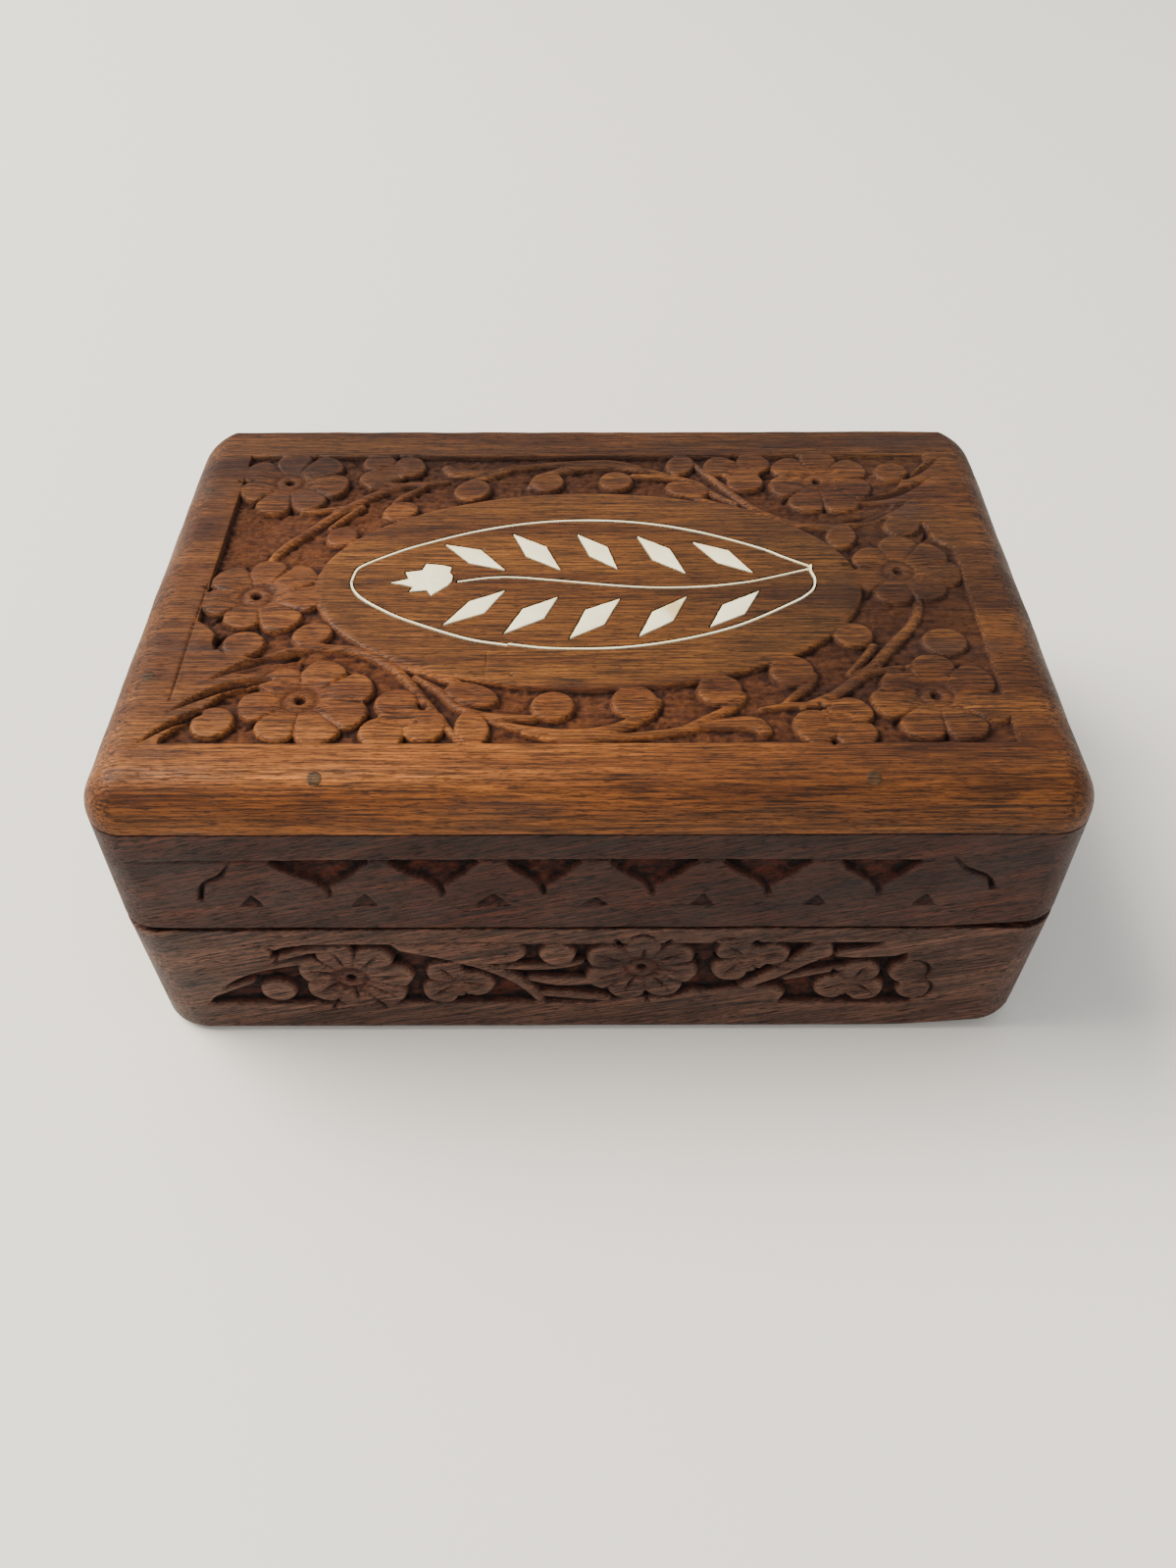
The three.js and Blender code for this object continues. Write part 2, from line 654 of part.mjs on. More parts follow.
const STRIPS = [
  ['inlay_outline_back', OUTLINE_BACK, OUTLINE_WIDTH],
  ['inlay_outline_front_left', OUTLINE_FRONT_LEFT, OUTLINE_WIDTH],
  ['inlay_outline_front_right', OUTLINE_FRONT_RIGHT, OUTLINE_WIDTH],
  ['inlay_stem', VEIN, VEIN_WIDTH],
];

function inlayOutlines() {
  const leaflets = Object.entries(LEAFLETS).flatMap(([row, outlines]) => (
    outlines.map((points, index) => [`inlay_leaf_${row}_${index + 1}`, points])
  ));
  return [['inlay_bud', BUD_INLAY], ...leaflets];
}

function inlayGrooves() {
  return [
    ...STRIPS.map(([, line, width]) => strip(lengthened(line, FIT), width + 2 * FIT)),
    ...inlayOutlines().map(([, points]) => outset(points, FIT)),
  ].map((points) => pocket('top', points, INLAY_DEPTH));
}

function buildInlay() {
  const floor = HEIGHT - INLAY_DEPTH;
  for (const [name, line, width] of STRIPS) {
    addPiece(name, prism(strip(line, width), INLAY_DEPTH).translate([0, 0, floor]), 'bone');
  }
  for (const [name, points] of inlayOutlines()) {
    addPiece(name, prism(points, INLAY_DEPTH).translate([0, 0, floor]), 'bone');
  }
}

// ---- linings --------------------------------------------------------------------------------

function liningSheet(low) {
  return box([-INSIDE_X, -INSIDE_Y, low], [INSIDE_X, INSIDE_Y, low + LINING]);
}

function liningBand(low, high) {
  const outer = box([-INSIDE_X, -INSIDE_Y, low], [INSIDE_X, INSIDE_Y, high]);
  const innerX = INSIDE_X - LINING;
  const innerY = INSIDE_Y - LINING;
  return outer.subtract(box([-innerX, -innerY, low - 1], [innerX, innerY, high + 1]));
}

function buildLinings() {
  const margin = 1.5; // bare wood left at the open edge of each half
  addPiece('base_floor_lining', liningSheet(BASE_BOARD), 'velvet');
  addPiece('base_wall_lining', liningBand(BASE_BOARD + LINING, BASE_TOP - margin), 'velvet');
  addPiece('lid_ceiling_lining', liningSheet(RAIL_TOP - LINING), 'velvet');
  addPiece('lid_wall_lining', liningBand(LID_BOTTOM + margin, RAIL_TOP - LINING), 'velvet');
}

function buildHinges() {
  for (const [name, x] of HINGES) {
    for (const [half, side] of [['base', -1], ['lid', 1]]) {
      addPiece(`hinge_${name}_${half}_leaf`, hingeLeaf(x, side), 'brass');
      screwPlaces(x).forEach((screwX, index) => {
        addPiece(`hinge_${name}_${half}_screw_${index + 1}`, screw(screwX, side), 'brass');
      });
    }
    addPiece(`hinge_${name}_pin`, hingePin(x), 'brass');
  }
}

buildBase();
buildLid();
buildInlay();
buildLinings();
buildHinges();

export default model;
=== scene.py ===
"""Looks of the carved and inlaid keepsake box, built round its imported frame.

Shapes are worked out in millimetres in the part's frame and turned to metres as a mesh is made.
Reliefs are height fields: 0 is the wood's uncarved surface, and carving goes below it.
"""

import json
import math

import bmesh
import bpy
import numpy as np
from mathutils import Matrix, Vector


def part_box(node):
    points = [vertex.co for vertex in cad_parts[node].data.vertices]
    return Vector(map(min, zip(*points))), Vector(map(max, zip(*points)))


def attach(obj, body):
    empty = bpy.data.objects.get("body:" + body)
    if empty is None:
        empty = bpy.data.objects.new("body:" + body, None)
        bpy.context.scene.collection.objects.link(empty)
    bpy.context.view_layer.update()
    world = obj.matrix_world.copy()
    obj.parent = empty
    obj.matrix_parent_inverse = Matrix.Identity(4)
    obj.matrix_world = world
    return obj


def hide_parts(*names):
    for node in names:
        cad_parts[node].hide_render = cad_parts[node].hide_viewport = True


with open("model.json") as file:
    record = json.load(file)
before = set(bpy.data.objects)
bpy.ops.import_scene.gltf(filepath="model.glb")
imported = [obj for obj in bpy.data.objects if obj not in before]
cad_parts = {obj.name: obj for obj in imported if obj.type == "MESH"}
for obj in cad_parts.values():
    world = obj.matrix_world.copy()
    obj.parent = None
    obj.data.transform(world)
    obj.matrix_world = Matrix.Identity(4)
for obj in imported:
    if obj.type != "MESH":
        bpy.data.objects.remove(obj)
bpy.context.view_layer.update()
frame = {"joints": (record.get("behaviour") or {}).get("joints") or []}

MM = 0.001


def box_mm(node):
    """The low and high corner of a node's box."""
    return tuple(np.array(corner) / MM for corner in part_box(node))


# ---- sizes read from the frame ----

(_, _, RAIL_TOP), (HALF_X, HALF_Y, TOP) = box_mm("lid_board")
INSIDE_X, INSIDE_Y, _ = box_mm("base_board")[1]
BASE_TOP = box_mm("base_front_wall")[1][2]
LID_BOTTOM = box_mm("lid_front_rail")[0][2]
WALL = HALF_X - INSIDE_X
_, HINGE_Y, SEAM = np.array(frame["joints"][0]["pos_m"]) / MM
INLAY_FLOOR = box_mm("inlay_bud")[0][2]

# ---- shape of the worn wood ----

CORNER, FOOT_CORNER = 7.0, 8.5  # radius of the upright corners, above and at the foot
TAPER = 0.45  # how far the walls lean in at the foot
FOOT_EDGE = 2.0  # radius of the lowest edge
TOP_RISE = 7.4  # height of the lid's rounded edge
TOP_RUN = {"front": 6.7, "back": 2.5, "side": 6.5}  # how far in it starts
SEAM_EDGE, RAIL_HEAD_EDGE, BACK_EDGE = 0.28, 0.3, 0.12  # radii of the small edges
BEVEL_START = 48.7  # how far out the back bevels start
BEVEL_SLOPE = math.tan(math.radians(51))
LEAF_RECESS, BARREL_RECESS = 0.95, 1.9  # depth for the hinge leaves, radius round the knuckles
FIELD_DEPTH, BAND_DEPTH = 1.02, 1.45  # depth of the carving on the lid and on the walls
WEAR_DEPTH = 2.0  # the seam's wear fades out deeper than this in a wall
UNEVEN = 0.07  # slow unevenness of the walls
RUBBED = 0.38  # share of the relief rubbed away at the right of the lid
FLOWER_DISC, TREFOIL_DISC = 6.9, 3.7  # radius of the middle that joins the petals
ROUND, POINTED = (2.2, 0.6), (1.75, 1.0)  # power of a petal's outline, depth of its creases
VEIN_DEPTH, LEAF_CUT = 0.8, 1.5

GRID, PLAIN_STEP = 0.22, 1.0  # spacing of the points on carved and on plain faces
CORNER_STEPS, LID_CORNER_STEPS, TOP_EDGE_STEPS = 12, 14, 16
EDGE_STEPS, EDGE_BAND = 6, 0.6  # rows that round a wall's edge, and their least height
SHARP = 38  # degrees; edges sharper than this stay sharp on the carved pieces
LID_TRIANGLES, BASE_FRONT_TRIANGLES, LID_FRONT_TRIANGLES = 195000, 110000, 90000
BASE_SIDE_TRIANGLES, LID_SIDE_TRIANGLES = 60000, 50000


# ---- small tools ----

def smoothstep(value, low=0.0, high=1.0):
    """0 at low, 1 at high and a soft curve between."""
    share = np.clip((value - low) / (high - low), 0, 1)
    return share * share * (3 - 2 * share)


def blend(table, row, column, along, across):
    """Values between the entries of a table, which repeats beyond its edges."""
    rows, columns = table.shape
    next_row, next_column = (row + 1) % rows, (column + 1) % columns
    row, column = row % rows, column % columns
    low = table[row, column] * (1 - across) + table[row, next_column] * across
    high = table[next_row, column] * (1 - across) + table[next_row, next_column] * across
    return low * (1 - along) + high * along


def noise(x, y, cell, seed):
    """Smooth value noise from -1 to 1 with features about one cell wide."""
    table = np.random.default_rng(seed).uniform(-1, 1, (128, 128))
    u, v = np.asarray(x) / cell, np.asarray(y) / cell
    column, row = np.floor(u).astype(int), np.floor(v).astype(int)
    return blend(table, row, column, smoothstep(v - row), smoothstep(u - column))


def rough(x, y, cell, seed, octaves=3):
    """Noise with finer and finer detail, from about -1 to 1."""
    total = 0
    for octave in range(octaves):
        total = total + noise(x, y, cell / 2 ** octave, seed + octave) / 2 ** octave
    return total / 1.75


def curve(points, steps=6):
    """A smooth line through points; further columns, such as a width, are smoothed with it."""
    points = np.asarray(points, float)
    padded = np.vstack([2 * points[0] - points[1], points, 2 * points[-1] - points[-2]])
    made = []
    for index in range(1, len(padded) - 2):
        before, start, end, after = padded[index - 1:index + 3]
        for step in range(steps):
            t = step / steps
            made.append(0.5 * (
                2 * start + (end - before) * t
                + (2 * before - 5 * start + 4 * end - after) * t * t
                + (3 * start - before - 3 * end + after) * t ** 3
            ))
    made.append(points[-1])
    return np.array(made)


def nearest_on(x, y, start, end):
    """Share of the way along a segment where it is nearest, and the distance to it."""
    (ax, ay), (bx, by) = start[:2], end[:2]
    dx, dy = bx - ax, by - ay
    share = np.clip(((x - ax) * dx + (y - ay) * dy) / (dx * dx + dy * dy + 1e-12), 0, 1)
    return share, np.hypot(x - ax - share * dx, y - ay - share * dy)


def line_distance(x, y, line):
    """Distance from a line less its half width; each point of the line is x, y, half width."""
    nearest = np.full(np.shape(x), np.inf)
    for start, end in zip(line[:-1], line[1:]):
        share, gap = nearest_on(x, y, start, end)
        nearest = np.minimum(nearest, gap - start[2] - share * (end[2] - start[2]))
    return nearest


def polygon_distance(x, y, outline):
    """Distance from a closed outline, negative inside it."""
    outline = np.asarray(outline, float)
    nearest = np.full(np.shape(x), np.inf)
    inside = np.zeros(np.shape(x), bool)
    for start, end in zip(outline, np.roll(outline, -1, 0)):
        nearest = np.minimum(nearest, nearest_on(x, y, start, end)[1])
        (ax, ay), (bx, by) = start, end
        if ay != by:
            inside ^= ((ay > y) != (by > y)) & (x < (y - ay) / (by - ay) * (bx - ax) + ax)
    return np.where(inside, -nearest, nearest)


def oval_distance(x, y, centre, along, across, angle=0.0, power=2.0):
    """Distance from an oval, near enough for a small one; a power below 2 makes it pointed."""
    dx, dy = x - centre[0], y - centre[1]
    u = np.abs(dx * math.cos(angle) + dy * math.sin(angle)) / along
    v = np.abs(dy * math.cos(angle) - dx * math.sin(angle)) / across
    return ((u ** power + v ** power) ** (1 / power) - 1) * min(along, across)


def crown(distance, top, drop=0.12, soft=0.5, steep=3.4):
    """Height of a raised shape: rounded inside its outline and steep outside it."""
    inside = np.clip(-distance / soft, 0, 1)
    return top - drop * (1 - inside) ** 2 - steep * np.maximum(distance, 0)


# ---- reliefs ----

class Relief:
    """Heights over a regular grid, with the carver's shapes as methods."""

    def __init__(self, xs, ys):
        self.xs, self.ys = xs, ys
        self.height = np.zeros((len(ys), len(xs)))

    def patch(self, points, margin):
        """The grid points round some points: their place in the grid, and their x and y."""
        points = np.asarray(points, float)[:, :2]
        low, high = points.min(0) - margin, points.max(0) + margin
        columns = slice(*np.searchsorted(self.xs, (low[0], high[0])))
        rows = slice(*np.searchsorted(self.ys, (low[1], high[1])))
        return (rows, columns), *np.meshgrid(self.xs[columns], self.ys[rows])

    def build_up(self, where, heights):
        """Raises the relief to these heights where they are higher."""
        self.height[where] = np.maximum(self.height[where], heights)

    def field(self, outline, ground):
        """Sinks the inside of an outline to a rough ground."""
        where, x, y = self.patch(outline, 1)
        inside = -polygon_distance(x, y, outline)
        sunk = np.maximum(ground(x, y), -2.6 * np.maximum(inside, 0))
        self.height[where] = np.where(inside > 0, sunk, self.height[where])

    def plateau(self, outline):
        """Wood left standing inside an outline."""
        where, x, y = self.patch(outline, 2)
        self.build_up(where, crown(polygon_distance(x, y, outline), 0.0, 0.1))

    def bud(self, x, y, radius, stretch, degrees, top, cup):
        """A bud or loose petal; cup hollows its middle."""
        where, gx, gy = self.patch([(x, y)], radius * max(stretch, 1) + 1.5)
        angle = math.radians(degrees)
        distance = oval_distance(gx, gy, (x, y), radius * stretch, radius, angle)
        hollow = cup * np.exp(-(np.hypot(gx - x, gy - y) / (0.55 * radius)) ** 2)
        self.build_up(where, crown(distance, top) - hollow)

    def rib(self, line, top):
        """A raised stem; the line's points are x, y, half width."""
        line = curve(line)
        where, x, y = self.patch(line, 2.5)
        distance = line_distance(x, y, line)
        widest = line[:, 2].max()
        self.build_up(where, crown(distance, top, 0.4, widest, 3.5))

    def groove(self, line, depth):
        """A cut with sloping sides; the line's points are x, y, half width."""
        line = curve(line)
        where, x, y = self.patch(line, 1.5)
        distance = line_distance(x, y, line)
        widest = max(line[:, 2].max(), 0.2)
        self.height[where] -= depth * np.clip(-distance / widest, 0, 1)

    def wedge(self, outline, depth, slope=6.0):
        """A crisp cut, deepest along its upper edge."""
        where, x, y = self.patch(outline, 0.5)
        inside = np.maximum(-polygon_distance(x, y, outline), 0)
        low, high = np.min(outline, 0)[1], np.max(outline, 0)[1]
        rising = 0.4 + 0.6 * np.clip((y - low) / (high - low), 0, 1)
        self.height[where] -= np.minimum(depth * rising, slope * inside)

    def petals(self, x, y, petals, disc, dish, power, crease):
        """Petals round a middle that dishes, given from it as x, y, radius, with creases between.

        power shapes their outline and crease is the depth of the cuts between them.
        """
        where, gx, gy = self.patch([(x, y)], 12.5)
        dx, dy = gx - x, gy - y
        reach = np.hypot(dx, dy)
        outline = reach - disc
        for px, py, radius in petals:
            angle = math.atan2(py, px)
            petal = oval_distance(dx, dy, (px, py), radius, radius * 1.14, angle, power)
            outline = np.minimum(outline, petal)
        top = -0.03 - dish * (1 - smoothstep(reach, 0.3 * disc, 0.95 * disc))
        top = top + 0.05 * noise(gx, gy, 2.1, round(abs(x + 2 * y)))
        self.build_up(where, crown(outline, top))
        turns = sorted(math.atan2(py, px) for px, py, _ in petals)
        for first, second in zip(turns, turns[1:] + [turns[0] + 2 * math.pi]):
            angle = (first + second) / 2
            cut = [(x + along * disc * math.cos(angle), y + along * disc * math.sin(angle), half)
                   for along, half in ((0.4, 0.14), (0.85, 0.3), (1.35, 0.5))]
            self.groove(cut, crease)
        return where, reach

    def flower(self, x, y, petals, veined=False):
        """A whole flower: its petals slope to a sunk ring round a drilled hole."""
        shape = POINTED if veined else ROUND
        where, reach = self.petals(x, y, petals, FLOWER_DISC, 0.4, *shape)
        if veined:
            self.veins(x, y, petals, (0.45, 0.8, 1.25), 0.42)
        self.height[where] -= 0.3 * np.exp(-((reach - 2.6) / 0.45) ** 2)
        self.height[where] -= 1.2 * np.exp(-(reach / 0.8) ** 4)

    def veins(self, x, y, petals, shares, half):
        """A cut down each petal, its points at shares of the way to the middle of the petal."""
        for dx, dy, _ in petals:
            self.groove([(x + dx * share, y + dy * share, width)
                         for share, width in zip(shares, (0.14, half, 0.14))], VEIN_DEPTH)

    def soften(self):
        """Rounds the relief a little, as wear does."""
        padded = np.pad(self.height, 1, mode="edge")
        self.height = (
            4 * self.height + padded[:-2, 1:-1] + padded[2:, 1:-1]
            + padded[1:-1, :-2] + padded[1:-1, 2:]
        ) / 8

    def masks(self):
        """How deep each point lies, and how far it lies below what is round it."""
        around = self.height
        for _ in range(3):
            around = box_blur(around, 4)
        carved = smoothstep(-self.height, 0.2, 0.9)
        hollow = np.clip((around - self.height) / 0.7, -1, 1)
        return {"carved": carved, "hollow": hollow}


def box_blur(values, radius):
    """The mean of the square round each value."""
    for axis in (0, 1):
        width = 2 * radius + 1
        pad = [(radius + 1, radius) if index == axis else (0, 0) for index in (0, 1)]
        sums = np.cumsum(np.pad(values, pad, mode="edge"), axis=axis)
        head = np.take(sums, range(width, sums.shape[axis]), axis)
        tail = np.take(sums, range(0, sums.shape[axis] - width), axis)
        values = (head - tail) / width
    return values


def punched_ground(depth, seed):
    """The rough floor of the carving: torn fibres, gouge marks and small punch marks."""
    def height(x, y):
        punches = np.maximum(noise(x, y, 0.7, seed + 9), 0) ** 0.5
        fibres = noise(x * 0.45, y * 1.7, 0.9, seed + 4)
        return -depth + 0.18 * rough(x, y, 3.2, seed) - 0.26 * punches + 0.14 * fibres
    return height


# ---- meshes ----

def build(name, points, faces, masks=None, sharp=40):
    """A mesh object from millimetre points and groups of faces given by corner numbers."""
    mesh = bpy.data.meshes.new(name)
    groups = [np.asarray(group, np.int32) for group in faces if len(group)]
    corners = np.concatenate([group.ravel() for group in groups])
    sizes = np.concatenate([np.full(len(group), group.shape[1]) for group in groups])
    mesh.vertices.add(len(points))
    mesh.vertices.foreach_set("co", (np.asarray(points) * MM).astype(np.float32).ravel())
    mesh.loops.add(len(corners))
    mesh.loops.foreach_set("vertex_index", corners)
    mesh.polygons.add(len(sizes))
    starts = np.concatenate([[0], np.cumsum(sizes)[:-1]]).astype(np.int32)
    mesh.polygons.foreach_set("loop_start", starts)
    mesh.update(calc_edges=True)
    mesh.validate()
    for key, values in (masks or {}).items():
        attribute = mesh.attributes.new(key, "FLOAT", "POINT")
        attribute.data.foreach_set("value", np.asarray(values, np.float32).ravel())
    return smooth_piece(name, mesh, sharp)


def smooth_piece(name, mesh, sharp):
    """Puts a mesh in the scene, smooth except at edges sharper than an angle in degrees."""
    mesh.shade_smooth()
    mesh.set_sharp_from_angle(angle=math.radians(sharp))
    piece = bpy.data.objects.new(name, mesh)
    bpy.context.scene.collection.objects.link(piece)
    return piece


def skin(name, rings, sharp=35):
    """A closed mesh over rings of millimetre points; a ring of one point makes a tip."""
    bm = bmesh.new()
    loops = [[bm.verts.new(Vector(point) * MM) for point in ring] for ring in rings]
    for lower, upper in zip(loops[:-1], loops[1:]):
        count = max(len(lower), len(upper))
        for index in range(count):
            following = (index + 1) % count
            corners = [lower[index % len(lower)], lower[following % len(lower)],
                       upper[following % len(upper)], upper[index % len(upper)]]
            bm.faces.new(list(dict.fromkeys(corners)))
    for loop in (loops[0], loops[-1]):
        if len(loop) > 1:
            bm.faces.new(loop)
    bmesh.ops.recalc_face_normals(bm, faces=bm.faces)
    mesh = bpy.data.meshes.new(name)
    bm.to_mesh(mesh)
    bm.free()
    return smooth_piece(name, mesh, sharp)


def at_height(points, height):
    """Points of a plan raised to one height."""
    return np.column_stack([points, np.full(len(points), height)])


def left_of(tangent):
    """Unit vectors square to tangents, on their left."""
    normal = np.column_stack([-tangent[:, 1], tangent[:, 0]])
    return normal / np.linalg.norm(normal, axis=1)[:, None]


def grid_faces(number):
    """The quads of a grid of corner numbers."""
    return np.column_stack([
        number[:-1, :-1].ravel(), number[:-1, 1:].ravel(),
        number[1:, 1:].ravel(), number[1:, :-1].ravel(),
    ])


def bridge(lower, upper):
    """Faces between two closed loops of corner numbers; a doubled corner gives a triangle."""
    quads = np.column_stack([lower, np.roll(lower, -1), np.roll(upper, -1), upper])
    thin = quads[:, 0] == quads[:, 1]
    return [quads[~thin], quads[thin][:, [0, 2, 3]]]


def fan(loop, centre, up=True):
    """Triangles from a loop of corner numbers to one corner."""
    ring = np.column_stack([np.full(len(loop), centre), loop, np.roll(loop, -1)])
    return ring if up else ring[:, ::-1]


def apply_modifiers(piece):
    """Turns the piece's modifiers into mesh."""
    depsgraph = bpy.context.evaluated_depsgraph_get()
    mesh = bpy.data.meshes.new_from_object(piece.evaluated_get(depsgraph))
    piece.modifiers.clear()
    piece.data = mesh
    return piece


def thin_out(piece, triangles):
    """Merges what is flat until the piece has about this many triangles."""
    count = sum(len(face.vertices) - 2 for face in piece.data.polygons)
    if count > triangles:
        modifier = piece.modifiers.new("thin_out", "DECIMATE")
        modifier.ratio = triangles / count
        apply_modifiers(piece)
    piece.data.set_sharp_from_angle(angle=math.radians(SHARP))
    return piece


def combine(piece, other, operation):
    """Cuts or joins another closed object and removes it."""
    modifier = piece.modifiers.new("combine", "BOOLEAN")
    modifier.operation = operation
    modifier.solver = "EXACT"
    modifier.object = other
    bpy.context.view_layer.update()
    apply_modifiers(piece)
    bpy.data.objects.remove(other)
    return piece


def finish_piece(piece, material, body, slot, *nodes):
    """Gives a piece its material, and tells the frame what it rides on and stands for."""
    piece.data.materials.clear()
    piece.data.materials.append(material)
    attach(piece, body)
    if nodes:
        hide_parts(*nodes)
    return piece


# ---- layout of the lid's carving ----

FIELD = [(-64.8, -39.6), (64.8, -39.6), (64.8, 40.3), (-64.8, 40.3)]
OVAL = (46.6, 27.3)

# centre of each flower, then its petals from the centre: x, y, radius
LID_FLOWERS = [
    ((-56.2, -3.2), [(-4.9, 4.3, 3.1), (-5.8, -1.7, 3.1), (-1.2, -5.8, 2.9), (5, -6.3, 3.1),
     (8.1, -0.7, 3.1), (6.4, 5, 3), (1.1, 6.8, 2.8)]),
    ((-44.9, -29.5), [(8.1, 2.6, 3), (7.7, -3.3, 2.9), (3.5, -6.9, 3.1), (-2.7, -6.3, 2.9),
     (-6.5, -1.5, 2.8), (-3.6, 4.2, 2.9), (3.1, 6, 3)]),
    ((54.2, -28.7), [(0.8, 6.7, 2.9), (6.4, 3.4, 3.1), (8.3, -2.9, 3), (3.3, -7, 2.9),
     (-3.2, -6.8, 3.1), (-7.2, -1.6, 3.1), (-5.4, 2.6, 2.8)]),
    ((-56, 31.5), [(0, 6.3, 3), (6.1, 5, 3.1), (7.8, -1.2, 3.3), (4.4, -6.5, 2.8), (-1.8, -7.6, 2.9),
     (-5.6, -3, 3), (-6, 3.1, 3.1)]),
    ((53.7, 3.4), [(1.3, 7, 3), (5.7, 4.3, 3.2), (7.6, -0.8, 3.1), (4.3, -5.4, 2.7), (-1.8, -6.2, 2.9),
     (-5.2, -2.1, 2.8), (-4.4, 3.7, 2.7)]),
    ((43.1, 31.5), [(1, 6.7, 3), (6.5, 3.7, 3), (6.5, -2.5, 3.2), (3.6, -7.2, 3), (-2.7, -7, 3),
     (-6, -1.9, 3), (-4.8, 4.6, 3)]),
]

LID_TREFOILS = [
    ((-37.3, 35.4), [(-2.7, 2.8, 2.7), (-2.6, -3.1, 2.8), (3.4, 1.3, 2.9)]),
    ((-28.8, -34.2), [(-1.1, 3.9, 2.9), (-2.7, -3, 3.1), (3.8, -1.3, 3.1)]),
    ((38.3, -35), [(-3.9, -0.8, 3.2), (2.3, -2.4, 2.8), (2.3, 2.6, 2.8)]),
    ((29, 35), [(2.7, 2.7, 2.9), (0.6, -3.9, 2.9), (-4, 1.7, 2.8)]),
]

# buds and loose petals: x, y, radius, stretch, angle of the stretch in degrees
LID_BUDS = [
    (-57.5, -34.7, 3.2, 1.05, 60), (-56.1, -16.1, 3.1, 1.1, 0), (-45.3, -13.7, 2.8, 1.2, 35),
    (-18.3, -28.4, 2.4, 1.8, -22), (-17.8, -36.1, 2.5, 1.5, 104), (-5.6, -31.1, 3.2, 1.05, 0),
    (7, -30.1, 3.5, 1.03, 40), (20.5, -27.5, 3.4, 1.05, 30), (32.3, -23, 3.5, 1.03, 60),
    (43.4, -14.1, 3, 1.05, 20), (58, -15.8, 3.3, 1.08, 0), (-43.9, 13.8, 2.7, 1.1, 60),
    (-34.3, 21.6, 2.7, 1.25, 40), (-21.5, 28.5, 3.1, 1.15, 35), (-7.6, 31.2, 3.1, 1, 0),
    (5.3, 31.5, 3.1, 1, 0), (17.6, 37, 2.6, 1.3, 70), (18.5, 28.6, 2.4, 1.7, -20),
    (57.6, 34.4, 3, 1.05, 30), (56.6, 16.8, 3, 1.1, 40), (45.2, 13.6, 2.6, 1.4, 75),
]

# stems of the lid's front half: x, y, half width; their turned copies lie at the back
LID_STEMS = [
    [(-61, -26.6, 0.5), (-53.7, -20.4, 0.9), (-46.2, -16.9, 0.9), (-41.2, -16.9, 0.9),
     (-36.6, -17.9, 1), (-30.3, -22.8, 0.9), (-24.9, -30.7, 0.8), (-20.3, -37.8, 0.6),
     (-19, -39.9, 0.4)],
    [(-31.5, -20.6, 0.7), (-26.8, -22.6, 0.9), (-22.5, -24.6, 0.9), (-19.5, -26.6, 0.9)],
    [(-27.5, -24, 0.5), (-23.2, -27.6, 0.8), (-20.2, -31.2, 0.8), (-15, -33.2, 0.8),
     (-8.5, -33.6, 0.7)],
    [(-15, -34.3, 0.5), (-10, -35.9, 0.8), (-4, -37, 1), (1.7, -36.6, 1.1), (6, -34.9, 1.2),
     (9.2, -32.3, 1.2), (10.6, -29.9, 0.9)],
    [(-10, -36.9, 0.4), (-4, -38.5, 0.7), (5, -37.8, 0.8), (12, -36.8, 0.8), (16.5, -35.7, 0.8)],
    [(14.6, -35.6, 0.4), (18.6, -33.4, 0.8), (22, -31.4, 1), (24, -28.6, 0.9)],
    [(16, -35.7, 0.6), (21, -34.8, 1.2), (25.2, -34.9, 1.6), (26.7, -36.4, 1.2)],
    [(26.5, -31.8, 0.5), (31, -30.9, 0.7), (37, -30.6, 0.7), (40.5, -29.6, 0.6)],
    [(29.9, -30.8, 0.4), (32.6, -28.2, 0.8), (34.6, -26.2, 0.9), (35.8, -23.8, 0.7)],
    [(55.9, -3.4, 0.5), (55.2, -7.6, 0.8), (53.2, -11.6, 0.9), (49.6, -16.2, 1), (46.2, -20.8, 1),
     (42.8, -24.4, 1.1), (38.6, -28.2, 1), (33, -31.2, 0.7)],
    [(41.4, -23.4, 0.6), (44.2, -19.8, 0.7), (46.3, -16.6, 0.7)],
    [(44, -23.4, 0.6), (48.4, -22.3, 0.7), (52.2, -21.6, 0.5)],
]

# wood left standing in the corner by the long leaves, and the grooves that part them
LEAF_PLATEAU = [
    (-66, -9.4), (-63.4, -11), (-61.4, -13.2), (-60.4, -17), (-58.6, -18.6), (-54.2, -19.6),
    (-52.4, -18.8), (-56.2, -23.4), (-50.2, -24), (-49.6, -25.2), (-57, -28), (-59.2, -31.4),
    (-61, -33.4), (-64, -37.4), (-66, -39.9),
]
LEAF_GROOVES = [
    [(-60.4, -25.6, 0.1), (-56.2, -22.3, 0.9), (-51.4, -19.3, 1.4), (-47.2, -18.6, 1)],
    [(-64.8, -32.6, 0.1), (-61, -29.4, 0.8), (-56.6, -26.6, 1.1), (-51.8, -25.2, 0.9),
     (-49.8, -24.9, 0.3)],
    [(-68.2, -40, 0.1), (-65.2, -36.6, 0.6), (-62.4, -34.2, 0.9), (-60, -32.6, 0.9)],
    [(-59.6, -12.8, 0.2), (-60.8, -14.8, 0.5), (-60.4, -17.4, 0.3)],
]

# line and depth of each knife slip and scratch
LID_SCRATCHES = [
    ([(-65, -30, 0.22), (-65.1, -14, 0.26), (-65, 0, 0.2)], 0.35),
    ([(-16.4, -18.4, 0.14), (-16.3, -25, 0.16)], 0.25),
    ([(-12.5, -23.6, 0.2), (-12.1, -24.3, 0.3)], 0.3),
]

# ---- layout of the inlay ----

